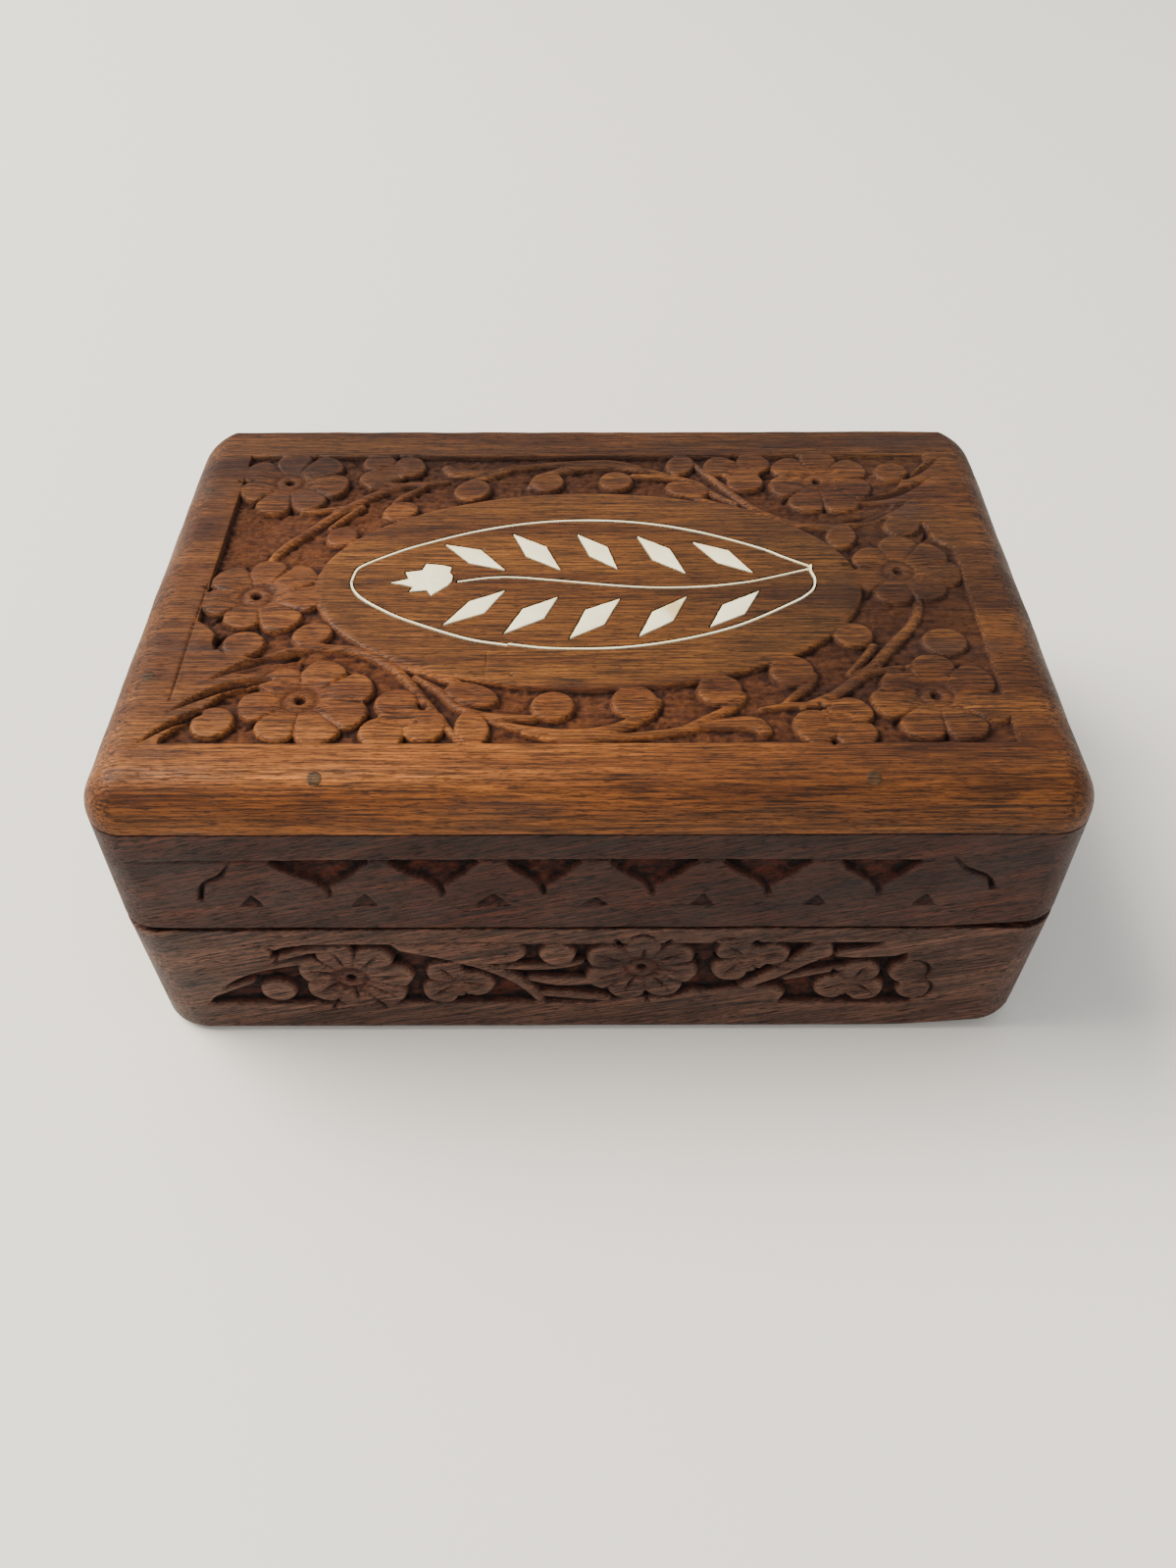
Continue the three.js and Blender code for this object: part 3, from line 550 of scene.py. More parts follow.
OUTLINE_STRIPS = {
    "inlay_outline_back": [
        (-40.6, 0.4), (-40, 3.7), (-38.3, 5.5), (-34.7, 8), (-30, 10.7), (-20, 15), (-10, 17.6),
        (0, 18.4), (10, 17.5), (20, 14.7), (30, 10), (34.3, 7.1), (38.5, 4.4),
    ],
    "inlay_outline_front_left": [
        (-40.6, 0.1), (-40, -1.9), (-38.3, -4.3), (-34.7, -7.3), (-30, -10.3), (-20, -15),
        (-13.2, -16.7),
    ],
    "inlay_outline_front_right": [
        (-13.1, -16.4), (-6, -17.5), (4.7, -17.4), (15, -15.4), (25, -11.6), (34.3, -5.7), (37.1, -3.4),
        (38.4, -1.6), (38.9, 0.9), (38.5, 3.2), (38.7, 4.9),
    ],
}
VEIN = [
    (-22.4, 0.2), (-17, 1.3), (-12.4, 1.4), (-6, 0.6), (6.1, -1.1), (13.3, -1.5), (20.1, -1.2),
    (25.8, -0.3), (30, 0.8), (38.2, 3.7),
]
OUTLINE_WIDTH = 0.36
VEIN_WIDTH = 0.3
BONE_STAIN = (14.4, -7.0)

BUD_INLAY = [
    (-33.8, 0), (-30.8, 1), (-31.5, 2.9), (-28.7, 3.4), (-28.2, 5.3), (-25.5, 4.9), (-23.7, 4.3),
    (-23.9, 2.8), (-23.3, 1.8), (-23.4, 0.4), (-24, -0.8), (-26.6, -3.5), (-27.4, -2.1), (-30.4, -2.5),
    (-29.8, -1.2), (-31.9, -0.5),
]
LEAFLETS = {
    "back": [
        [(-25.2, 11), (-18.9, 9.4), (-14.5, 3.6), (-20.6, 5.5)],
        [(-13.3, 14.1), (-7.4, 10.3), (-4.9, 3.6), (-10.8, 7.5)],
        [(-1.9, 14), (3.4, 10.2), (5, 3.9), (0.25, 7.6)],
        [(8.8, 13.4), (14.4, 9.6), (16.75, 2.6), (11.3, 6.4)],
        [(18.6, 11.6), (24.7, 9.1), (28.4, 2.7), (22.6, 5.5)],
    ],
    "front": [
        [(-14.2, -2.3), (-20.1, -5.3), (-24, -11.5), (-17.4, -8.4)],
        [(-5.2, -4.1), (-11, -7.3), (-13.9, -13.8), (-7.4, -9.8)],
        [(5.3, -4.6), (-0.5, -7.6), (-3.1, -15.1), (2.6, -11.4)],
        [(16.6, -4), (10.6, -8.2), (8.2, -14.6), (14, -10.5)],
        [(29, -2.5), (22.5, -6.3), (20, -12.2), (26, -8.7)],
    ],
}
PEGS = ["lid_peg_front_left", "lid_peg_front_right", "lid_peg_left_front", "lid_peg_left_back"]

# ---- layout of the bands on the walls: along the face, height ----

FRONT_GROUND = [
    (-65.8, 8.1), (-56, 8), (-7, 8.2), (0, 8.2), (34, 8), (55.4, 7.9), (55.4, 10), (52.6, 13.6),
    (52.4, 19), (52.8, 22.2), (50, 25.5), (-46, 25.1), (-50, 24.5), (-52.2, 23.4), (-52.8, 21.8),
    (-54, 20), (-56, 18.4), (-60.4, 15),
]
FRONT_PLATEAUS = [
    [(-33, 26), (-31.4, 23.4), (-26, 21.7), (-21.5, 20.2), (-15, 19.6), (-12.2, 20.4), (-10.6, 22.2),
     (-10.8, 24), (-12, 26)],
    [(-1, 7.6), (5.8, 9.4), (14, 9.8), (17.4, 11.6), (20, 11.3), (27, 12.7), (31.8, 12.6), (33.4, 10.8),
     (32, 7.6)],
    [(36.8, 25.4), (39.5, 25.2), (40.2, 22.1), (36.5, 19.6), (31.5, 15.4), (26.6, 12.4), (25.3, 13.1),
     (29.4, 16.6), (32.9, 20.2), (35.4, 23)],
    [(40.7, 21.6), (44, 21.2), (50.5, 21.7), (52.8, 22.8), (52.4, 24.4), (49, 25.6), (46.6, 24.2),
     (41.2, 22.9)],
]
FRONT_FLOWERS = [
    ((-40.2, 15.2), [(-5.6, 2.3, 2.8), (-1.7, 6.6, 2.9), (4.4, 5.7, 3), (7.8, 0.9, 2.8),
     (5.9, -3.9, 3.1), (0.6, -5.2, 2.9), (-4.6, -2.9, 3)]),
    ((8.7, 18), [(0.4, 5.2, 2.9), (5.6, 3.9, 2.9), (6.2, -0.8, 3.1), (4, -4.9, 2.8), (-2.4, -5.5, 3),
     (-6.1, -2.3, 3.1), (-6, 3.4, 3)]),
]
FRONT_BUDS = [
    (-52.9, 12, 2.8, 1.05, 0), (-15, 22.6, 2.1, 2, -5), (-5.3, 22.3, 2.8, 1.05, 0),
    (53.6, 17.2, 3.1, 1.08, 0), (55.3, 12.2, 2.6, 1.15, 0),
]
FRONT_TREFOILS = [
    ((-22.1, 14.1), [(-2.2, 3.3, 2.8), (-3.2, -2.6, 2.9), (3.2, -0.2, 2.9)]),
    ((26, 21), [(-2.2, 2.4, 2.8), (4.4, 1.1, 2.6), (-2.6, -3.3, 2.8)]),
    ((44.4, 14), [(1.2, 3.3, 2.8), (-3.4, -1.3, 2.8), (2.7, -2.1, 2.8)]),
]
FRONT_STEMS = [
    [(-57.4, 17.8, 0.4), (-51.9, 20.9, 0.7), (-46, 23.2, 0.8), (-40, 24.2, 0.6)],
    [(-64.8, 10.4, 0.3), (-60, 15.4, 0.7), (-55, 18.2, 0.8), (-48, 20.2, 0.9), (-44.4, 20.8, 0.7)],
    [(-64.8, 10, 0.3), (-60.6, 12.7, 0.6), (-57, 14.4, 0.4)],
    [(-22, 20.6, 0.8), (-17.4, 18.6, 1), (-13, 15.6, 1.1), (-10.3, 12.6, 1.1), (-8.8, 9.8, 0.9),
     (-8.2, 8.2, 0.6)],
    [(-14.6, 18.7, 0.6), (-9, 18.5, 0.8), (-4, 19.1, 0.7), (-1.4, 19.9, 0.5)],
    [(-9.6, 15.2, 0.8), (-5, 14.3, 1.2), (0, 14.5, 1), (2.4, 15.2, 0.6)],
    [(-7.4, 10.8, 0.8), (-3, 10.2, 0.9), (3, 9.2, 0.8)],
    [(33, 15.2, 0.5), (37, 16.6, 0.7), (42, 18, 0.6)],
]
# knife cuts that curl round a bud: middle, radius, first and last angle in degrees
FRONT_CURLS = [
    (53.6, 17.2, 3.3, 100, -75), (55.4, 12.2, 2.9, 80, -110), (-54.6, 21.9, 3, 75, -60),
    (8.7, 25.4, 2.3, 170, 10), (22.8, 24.2, 2.7, 165, 40),
]
# scallops under the lid board: place of the tip, reach to its left and right
SCALLOPS = [
    (-40.7, 8.4, 7.6), (-23.1, 7.8, 6.7), (-7.3, 5.6, 6.6), (9.5, 6.6, 7.6), (27.5, 7.3, 6.7),
    (44.7, 6.7, 6.2),
]
# notches below them: middle, reach to each side, rise
NOTCHES = [
    (-53, 1.9, 2.6), (-35.2, 2.1, 2.9), (-15.2, 2.9, 2.8), (0.8, 2.2, 2), (17.6, 1.8, 2.9),
    (35.3, 1.9, 2.4), (52.4, 1.9, 2.6),
]
FRONT_TOP_LINE = [(-57, 25.1, 0.15), (-40, 25.2, 0.2), (-28, 25.5, 0.25), (40, 25.7, 0.25),
                  (52, 25.6, 0.15)]
SIDE_TOP_LINE = [(-38, 25.5, 0.2), (38, 25.5, 0.2)]
SCALLOP_TOP = 46.0
NOTCH_FOOT = 35.5

SIDE_GROUND = [(-37.5, 8), (37.5, 8), (34, 14), (37.5, 25.3), (-37.5, 25.3), (-34, 18)]
SIDE_FLOWERS = [
    ((0.4, 16.9), [(0.4, 5.9, 2.9), (5.4, 3.4, 3), (6.2, -1.6, 3), (2.8, -5.8, 2.9), (-2.8, -5.7, 3),
     (-6.2, -1.2, 3), (-5, 3.8, 2.9)]),
]
SIDE_BUDS = [
    (-13.4, 21, 2.8, 1.1, 30), (-12.4, 14, 2.8, 1.1, -30), (-17.6, 16.9, 2.4, 1.2, 0),
    (13.4, 12.4, 2.8, 1.1, 30), (12.8, 19.4, 2.8, 1.1, -30), (18, 16.4, 2.4, 1.2, 0),
    (-30.2, 12.4, 2.9, 1.1, 0), (30.4, 21.2, 2.9, 1.1, 0),
]
SIDE_STEMS = [
    [(-36.6, 22.4, 0.4), (-30, 21.4, 0.9), (-24.4, 18.4, 1.1), (-21.4, 13.6, 1.1), (-20.6, 8.4, 0.7)],
    [(36.6, 11, 0.4), (30, 12.2, 0.9), (24.6, 15.4, 1.1), (21.8, 20.2, 1.1), (21, 25, 0.7)],
    [(-24, 17, 0.5), (-27.4, 15.4, 0.7), (-29.6, 14, 0.6)],
    [(24.4, 16.8, 0.5), (27.6, 18.2, 0.7), (29.8, 19.6, 0.6)],
]
SIDE_SCALLOPS = [(-26, 6.4, 6.4), (-8.6, 6.2, 6.6), (8.9, 6.5, 6.2), (26.3, 6.6, 6.3)]
SIDE_NOTCHES = [
    (-34.6, 1.8, 2.6), (-17.2, 1.9, 2.8), (0.2, 2, 2.6), (17.6, 1.8, 2.8), (34.8, 1.9, 2.6),
]

# knife lines of the upper bands: points along the face, height, half width; then the depth
FRONT_LINES = [
    ([(-70, 46.1, 0.22), (-34, 46.2, 0.3), (20, 46.2, 0.3), (52, 46.1, 0.2)], 0.45),
    ([(-20, 35.4, 0.12), (20, 35.7, 0.2), (47, 35.8, 0.12)], 0.25),
    ([(-54.5, 45.9, 0.2), (-56.6, 42.7, 0.4), (-59, 41.3, 0.3), (-60, 39.8, 0.4),
      (-60.7, 37.2, 0.42)], 1.3),
    ([(55.2, 46.9, 0.2), (57.5, 44.2, 0.35), (61.2, 42.1, 0.4), (62.4, 39.7, 0.5)], 1.3),
]
SIDE_LINES = [
    ([(-40, 46.1, 0.2), (0, 46.2, 0.3), (40, 46.1, 0.2)], 0.4),
    ([(-36, 35.5, 0.12), (36, 35.5, 0.12)], 0.25),
]


def turned(values):
    """The same shape after half a turn about the middle of the lid."""
    return [(-x, -y, *rest) for x, y, *rest in values]


def leaflet_outlines():
    """Each leaflet's node name and outline."""
    for row, outlines in LEAFLETS.items():
        for number, outline in enumerate(outlines, 1):
            yield f"inlay_leaf_{row}_{number}", outline


def carve_lid(relief):
    """The sunk field with its oval, leaves, flowers, buds, stems and scratches."""
    relief.field(FIELD, punched_ground(FIELD_DEPTH, 3))
    for outline in (LEAF_PLATEAU, turned(LEAF_PLATEAU)):
        relief.plateau(outline)
    where, x, y = relief.patch([(-50, -30), (50, 30)], 0)
    relief.build_up(where, crown(oval_distance(x, y, (0, 0), *OVAL), 0.0, 0.16, 0.8))
    for line in LID_STEMS:
        relief.rib(line, -0.12)
        relief.rib(turned(line), -0.12)
    for bud in LID_BUDS:
        relief.bud(*bud, top=0.0, cup=0.12)
    for (x, y), petals in LID_TREFOILS:
        relief.petals(x, y, petals, TREFOIL_DISC, 0.25, *ROUND)
    for (x, y), petals in LID_FLOWERS:
        relief.flower(x, y, petals)
    for line in LEAF_GROOVES:
        relief.groove(line, LEAF_CUT)
        relief.groove(turned(line), LEAF_CUT)
    for line, depth in LID_SCRATCHES:
        relief.groove(line, depth)
    relief.soften()
    x, y = np.meshgrid(relief.xs, relief.ys)
    relief.height *= 1 - RUBBED * smoothstep(x + 0.25 * y, 36, 62)
    relief.height += 0.05 * rough(x, y, 14.0, 21)


def seat_inlays(relief):
    """Lowers the wood under each inlay, a hair wider than the inlay itself."""
    seam, depth = 0.2, -0.6
    strips = [(line, OUTLINE_WIDTH) for line in OUTLINE_STRIPS.values()] + [(VEIN, VEIN_WIDTH)]
    shapes = [(line_distance, curve([(x, y, width / 2) for x, y in line]))
              for line, width in strips]
    shapes += [(polygon_distance, outline)
               for outline in [BUD_INLAY, *(outline for _, outline in leaflet_outlines())]]
    for distance, shape in shapes:
        where, x, y = relief.patch(shape, 1)
        under = distance(x, y, shape) < seam
        relief.height[where] = np.where(under, depth, relief.height[where])


# ---- lid board ----

def edge_profile(run):
    """How far out and how far down each step of a rounded top edge lies."""
    flat = CORNER - run
    out = [flat * share for share in (0.33, 0.67, 1.0)]
    down = [0.0, 0.0, 0.0]
    for step in range(1, TOP_EDGE_STEPS + 1):
        angle = math.pi / 2 * step / TOP_EDGE_STEPS
        out.append(flat + run * math.sin(angle))
        down.append(TOP_RISE * (1 - math.cos(angle)))
    thickness = TOP - RAIL_TOP
    bevel_in, bevel_up = 0.25, 0.2
    out += [CORNER, CORNER - bevel_in]
    down += [thickness - bevel_up, thickness]
    return np.array(out), np.array(down)


def lid_board():
    """The carved top as one grid, with its rounded edge swept round it and a flat underside."""
    inner_x, inner_y = HALF_X - CORNER, HALF_Y - CORNER
    xs = np.linspace(-inner_x, inner_x, round(2 * inner_x / GRID) + 1)
    ys = np.linspace(-inner_y, inner_y, round(2 * inner_y / GRID) + 1)
    relief = Relief(xs, ys)
    carve_lid(relief)
    seat_inlays(relief)
    masks = relief.masks()
    across, along = len(xs), len(ys)
    number = np.arange(across * along).reshape(along, across)
    gx, gy = np.meshgrid(xs, ys)
    points = [np.column_stack([gx.ravel(), gy.ravel(), TOP + relief.height.ravel()])]
    arc = np.linspace(0, math.pi / 2, LID_CORNER_STEPS + 1)[1:-1]
    corner_numbers = [number[0, -1], number[-1, -1], number[-1, 0], number[0, 0]]
    sides = [number[0], number[:, -1], number[-1, ::-1], number[::-1, 0]]
    loop = np.concatenate([
        np.concatenate([side, np.full(len(arc), corner)])
        for side, corner in zip(sides, corner_numbers)
    ])
    centres = np.column_stack([gx.ravel()[loop], gy.ravel()[loop]])
    edge_height = relief.height.ravel()[loop]
    headings = np.concatenate([
        np.concatenate([np.full(len(side), quarter), quarter + arc])
        for side, quarter in zip(sides, math.pi / 2 * np.array([-1, 0, 1, 2]))
    ])
    cosine, sine = np.cos(headings), np.sin(headings)
    side_profile, front_profile, back_profile = (
        edge_profile(TOP_RUN[side]) for side in ("side", "front", "back"))
    faces = [grid_faces(number)]
    lower = loop
    total = len(points[0])
    steps = len(side_profile[0])
    for step in range(steps):
        out_x, down_x = side_profile[0][step], side_profile[1][step]
        out_y = np.where(sine > 0, back_profile[0][step], front_profile[0][step])
        down_y = np.where(sine > 0, back_profile[1][step], front_profile[1][step])
        x = centres[:, 0] + out_x * cosine
        y = centres[:, 1] + out_y * sine
        down = down_x * cosine ** 2 + down_y * sine ** 2
        wear = 0.16 * rough(x * 0.6 + y, y * 0.6 - x, 9.0, 5) - 0.05
        fade = math.sin(math.pi * min(step / (steps - 3), 1))
        x, y = x + wear * fade * cosine, y + wear * fade * sine
        z = TOP - down + edge_height * (1 - step / steps) + wear * fade * 0.6
        if step == steps - 1:
            z = np.full(len(x), RAIL_TOP)
        points.append(np.column_stack([x, y, z]))
        upper = total + np.arange(len(loop))
        faces += [group[:, ::-1] for group in bridge(lower, upper)]
        total += len(loop)
        lower = upper
    points.append([(0, 0, RAIL_TOP)])
    faces.append(fan(lower, total, up=False))
    rim = np.zeros(total + 1 - across * along)
    masks = {key: np.concatenate([values.ravel(), rim]) for key, values in masks.items()}
    piece = build("lid_board_carved", np.vstack(points), faces, masks, sharp=70)
    return thin_out(piece, LID_TRIANGLES)


# ---- walls and rails ----

FACES = {
    "front": ((1, 0, 0), (0, -1, 0), (0, -HALF_Y, 0)),
    "back": ((-1, 0, 0), (0, 1, 0), (0, HALF_Y, 0)),
    "left": ((0, -1, 0), (-1, 0, 0), (-HALF_X, 0, 0)),
    "right": ((0, 1, 0), (1, 0, 0), (HALF_X, 0, 0)),
}


def edge_inset(z, low, high, low_radius, high_radius):
    """How far a face draws in where its lower and upper edges are rounded."""
    inset = np.zeros(np.shape(z))
    for distance, radius in ((z - low, low_radius), (high - z, high_radius)):
        share = np.clip(1 - distance / radius, 0, 1)
        inset = inset + radius * (1 - np.sqrt(1 - share ** 2))
    return inset


def wall(name, face, low, high, foot, head, relief=None, lift=None, step=GRID, seed=0):
    """A wall or rail as closed loops stacked in height, its outer face cut by a relief.

    foot and head are the radii of its lower and upper outer edges. Front and back walls have
    the box's rounded corners; the side walls end square against them.
    """
    across, out, origin = (np.array(axis, float) for axis in FACES[face])
    rounded = face in ("front", "back")
    half = HALF_X if rounded else INSIDE_Y
    straight = half - FOOT_CORNER - 0.4 if rounded else half
    flat = np.linspace(-straight, straight, round(2 * straight / step) + 1)
    foot_band, head_band = max(foot, EDGE_BAND), max(head, EDGE_BAND)
    edge = 1 - np.cos(np.linspace(0, math.pi / 2, EDGE_STEPS + 1))
    levels = np.unique(np.concatenate([
        low + foot_band * edge, np.arange(low + foot_band, high - head_band, step),
        high - head_band * edge,
    ]).round(4))
    z = levels[:, None]
    lean = np.clip(1 - z / SEAM, 0, 1)
    inset = edge_inset(z, low, high, foot, head) + TAPER * lean
    radius = CORNER + (FOOT_CORNER - CORNER) * lean
    arcs = np.linspace(0, math.pi / 2, CORNER_STEPS + 1)[:-1] if rounded else []
    corner_u = [-half + inset + radius * (1 - math.cos(angle)) for angle in arcs]
    corner_w = [-inset - radius * (1 - math.sin(angle)) for angle in arcs]
    face_u, face_z = np.meshgrid(flat, levels)
    face_w = np.tile(-inset, (1, len(flat)))
    if relief is not None:
        face_w = face_w + sample(relief, relief.height, face_u, face_z)
    face_w = face_w + UNEVEN * rough(face_u, z + 60 * seed, 11.0, 31 + seed)
    ends = inset if rounded else 0 * inset
    inner_u = np.clip(half * np.linspace(1, -1, 5)[None, :], -half + ends, half - ends)
    u = np.hstack([*corner_u, face_u, *(-column for column in corner_u[::-1]), inner_u])
    w = np.hstack([*corner_w, face_w, *corner_w[::-1], np.full(inner_u.shape, -WALL)])
    if face == "back":
        w = np.minimum(w, back_limit(z))
    heights = np.tile(z, (1, u.shape[1]))
    if lift is not None:
        heights = heights + lift(u, heights) * smoothstep(w, -WALL, -WEAR_DEPTH)
    points = (origin + u[..., None] * across + w[..., None] * out).reshape(-1, 3)
    points[:, 2] = heights.ravel()
    number = np.arange(u.size).reshape(u.shape)
    faces = []
    for lower, upper in zip(number[:-1], number[1:]):
        faces += bridge(lower, upper)
    faces += [fan(number[0], u.size, up=False), fan(number[-1], u.size + 1)]
    middle = origin - out * WALL / 2
    caps = [middle + (0, 0, heights[0].mean()), middle + (0, 0, heights[-1].mean())]
    masks = {"carved": np.zeros(u.shape), "hollow": np.zeros(u.shape)}
    if relief is not None:
        carved = slice(len(arcs), len(arcs) + len(flat))
        for key, values in relief.masks().items():
            masks[key][:, carved] = sample(relief, values, face_u, face_z)
    masks = {key: np.append(values, [0, 0]) for key, values in masks.items()}
    return build(name, np.vstack([points, caps]), faces, masks, sharp=50)


def back_limit(z):
    """The bevel on both back edges, which lets the lid swing and then stops it."""
    reach = BEVEL_START - HALF_Y + np.abs(z - SEAM) / BEVEL_SLOPE
    return np.minimum(reach, 0)


def sample(relief, values, x, y):
    """Values of a relief's grid at any points, blended between its nodes."""
    u = np.clip((x - relief.xs[0]) / (relief.xs[1] - relief.xs[0]), 0, len(relief.xs) - 1.001)
    v = np.clip((y - relief.ys[0]) / (relief.ys[1] - relief.ys[0]), 0, len(relief.ys) - 1.001)
    column, row = u.astype(int), v.astype(int)
    return blend(values, row, column, v - row, u - column)


def face_relief(half, low, high):
    """An uncarved relief for a face of this half length, between two heights."""
    xs = np.arange(-half, half + GRID, GRID)
    ys = np.arange(low, high + GRID, GRID)
    return Relief(xs, ys)


def floral_band(half, ground, plateaus, flowers, trefoils, buds, stems, curls, line, seed):
    """The lower band: flowers, buds and stems left standing in a sunk ground."""
    relief = face_relief(half, 0, BASE_TOP)
    relief.field(ground, punched_ground(BAND_DEPTH, seed))
    for outline in plateaus:
        relief.plateau(outline)
    for stem in stems:
        relief.rib(stem, 0.0)
    for bud in buds:
        relief.bud(*bud, top=0.05, cup=0.1)
    for (x, y), petals in trefoils:
        relief.petals(x, y, petals, TREFOIL_DISC, 0.3, *POINTED)
        relief.veins(x, y, petals, (0.3, 0.9, 1.5), 0.4)
    for (x, y), petals in flowers:
        relief.flower(x, y, petals, veined=True)
    relief.height = np.minimum(relief.height, 0.02)
    for x, y, radius, first, last in curls:
        angles = np.radians(np.linspace(first, last, 7))
        halves = 0.12 + 0.3 * np.sin(np.linspace(0, math.pi, 7))
        relief.groove([(x + radius * math.cos(angle), y + radius * math.sin(angle), half)
                       for angle, half in zip(angles, halves)], 1.0)
    relief.groove(line, 0.4)
    relief.soften()
    return relief


def scallop_band(half, scallops, notches, lines, seed):
    """The upper band: a row of scallops above a row of notches, and knife lines."""
    relief = face_relief(half, LID_BOTTOM, RAIL_TOP)
    for tip, left, right in scallops:
        outline = [
            (-left, 0.0), (-0.8 * left, -1.9), (-0.5 * left, -3.4), (-0.24 * left, -4.6),
            (-0.5, -6.2), (0.1, -8.3), (0.7, -7.6), (0.55, -5.9), (0.3 * right, -4.5),
            (0.6 * right, -2.9), (0.76 * right, -1.4), (right, 0.0),
        ]
        relief.wedge([(tip + dx, SCALLOP_TOP + dz) for dx, dz in outline], 1.5)
    for middle, reach, rise in notches:
        outline = [(-reach, 0.0), (reach, 0.0), (0.3, rise)]
        relief.wedge([(middle + dx, NOTCH_FOOT + dz) for dx, dz in outline], 1.0, 4.0)
    for line, depth in lines:
        relief.groove(line, depth)
    relief.soften()
    x, y = np.meshgrid(relief.xs, relief.ys)
    relief.height *= 1 + 0.4 * rough(x, y, 1.4, seed)
    return relief


def front_seam(u, z):
    """The rail's lower edge lifts where the right corner is worn, and waves a little elsewhere."""
    near = np.clip(1 - (z - LID_BOTTOM) / 4, 0, 1)
    corner = 1.5 * smoothstep(u, 50, 76) ** 1.3
    return near * (corner - 0.3 + 0.1 * noise(u, 0 * u, 7.0, 8))


def base_seam(u, z):
    """The wall's upper edge is worn and chipped at the left; its foot is worn at the right."""
    near = np.clip(1 - (BASE_TOP - z) / 4, 0, 1)
    chip = 0.9 * np.exp(-((u + 73.5) / 4.0) ** 4)
    wave = 0.12 * noise(u, 0 * u, 9.0, 4)
    foot = 2.3 * np.clip(1 - z / 7, 0, 1) * smoothstep(u, 46, 76) ** 1.4
    return foot - near * (0.5 + wave + 0.3 * smoothstep(-u, 20, 60) + chip)


def block(name, low, high):
    """A plain closed box."""
    plan = [(low[0], low[1]), (high[0], low[1]), (high[0], high[1]), (low[0], high[1])]
    return skin(name, [[(x, y, z) for x, y in plan] for z in (low[2], high[2])])


def cut_for_hinges(piece, seat, sign):
    """Recesses for the leaves and round the knuckles; sign is 1 for the lid."""
    for side in ("left", "right"):
        low, high = box_mm(f"hinge_{side}_base_leaf")
        depths = sorted((seat - sign, seat + sign * LEAF_RECESS))
        combine(piece, block("cutter", (low[0] - 0.12, low[1] - 0.12, depths[0]),
                             (high[0] + 0.12, HINGE_Y, depths[1])), "DIFFERENCE")
        barrel = bar("cutter", circle_outline(BARREL_RECESS, 32), low[0] - 0.2, high[0] + 0.2)
        combine(piece, barrel, "DIFFERENCE")
    return piece


def circle_outline(radius, sides):
    """Points round the hinge line in Y and Z."""
    return arc_outline(radius, np.linspace(0, 2 * math.pi, sides, endpoint=False))


def arc_outline(radius, angles):
    """Points in Y and Z at angles about the hinge line."""
    return [(HINGE_Y + radius * math.cos(a), SEAM + radius * math.sin(a)) for a in angles]


def bar(name, outline, start, end):
    """A closed bar along X with one outline in Y and Z."""
    return skin(name, [[(x, y, z) for y, z in outline] for x in (start, end)])


# ---- inlays ----

def inlay_plate(name, outline):
    """A cut plate of bone, its outline slightly uneven and its upper edge eased."""
    outline = np.asarray(outline, float)
    dense = []
    for start, end in zip(outline, np.roll(outline, -1, 0)):
        count = max(2, round(np.linalg.norm(end - start) / 0.6))
        dense += [start + (end - start) * step / count for step in range(count)]
    dense = np.array(dense)
    x, y = 3 * dense.T
    dense = dense + 0.05 * np.column_stack([noise(x, y, 1.7, 71), noise(y, x, 1.7, 72)])
    inward = left_of(np.roll(dense, -1, 0) - np.roll(dense, 1, 0))
    x, y = outline.T
    inward *= np.sign(np.sum(x * np.roll(y, -1) - np.roll(x, -1) * y))
    levels = [(0.0, INLAY_FLOOR), (0.0, TOP - 0.06), (0.05, TOP + 0.01), (0.14, TOP + 0.04)]
    return skin(name, [at_height(dense + inward * inset, height) for inset, height in levels], 30)


def inlay_strip(name, line, width):
    """A thin bent strip of bone, a little uneven in width, let in on edge."""
    line = curve(line, 8)
    normal = left_of(np.gradient(line, axis=0))
    half = width / 2 * (1 + 0.12 * noise(line[:, 0], line[:, 1], 2.3, 77))
    section = [(-1.0, INLAY_FLOOR), (1.0, INLAY_FLOOR), (1.0, TOP - 0.03), (0.75, TOP + 0.03),
               (-0.75, TOP + 0.03), (-1.0, TOP - 0.03)]
    edges = [at_height(line + normal * (share * half)[:, None], height)
             for share, height in section]
    return skin(name, np.stack(edges, 1), 30)


# ---- lathe work ----

def turned_piece(name, profile, base, axis, sides=28):
    """A turned solid: profile of (distance along the axis, radius), from and to the axis."""
    axis = Vector(axis)
    side = axis.orthogonal().normalized()
    other = axis.cross(side)
    rings = []
    for along, radius in profile:
        centre = Vector(base) + axis * along
        turns = [2 * math.pi * index / sides for index in range(sides if radius else 1)]
        rings.append([centre + (side * math.cos(turn) + other * math.sin(turn)) * radius
                      for turn in turns])
    return skin(name, rings)


# ---- materials ----

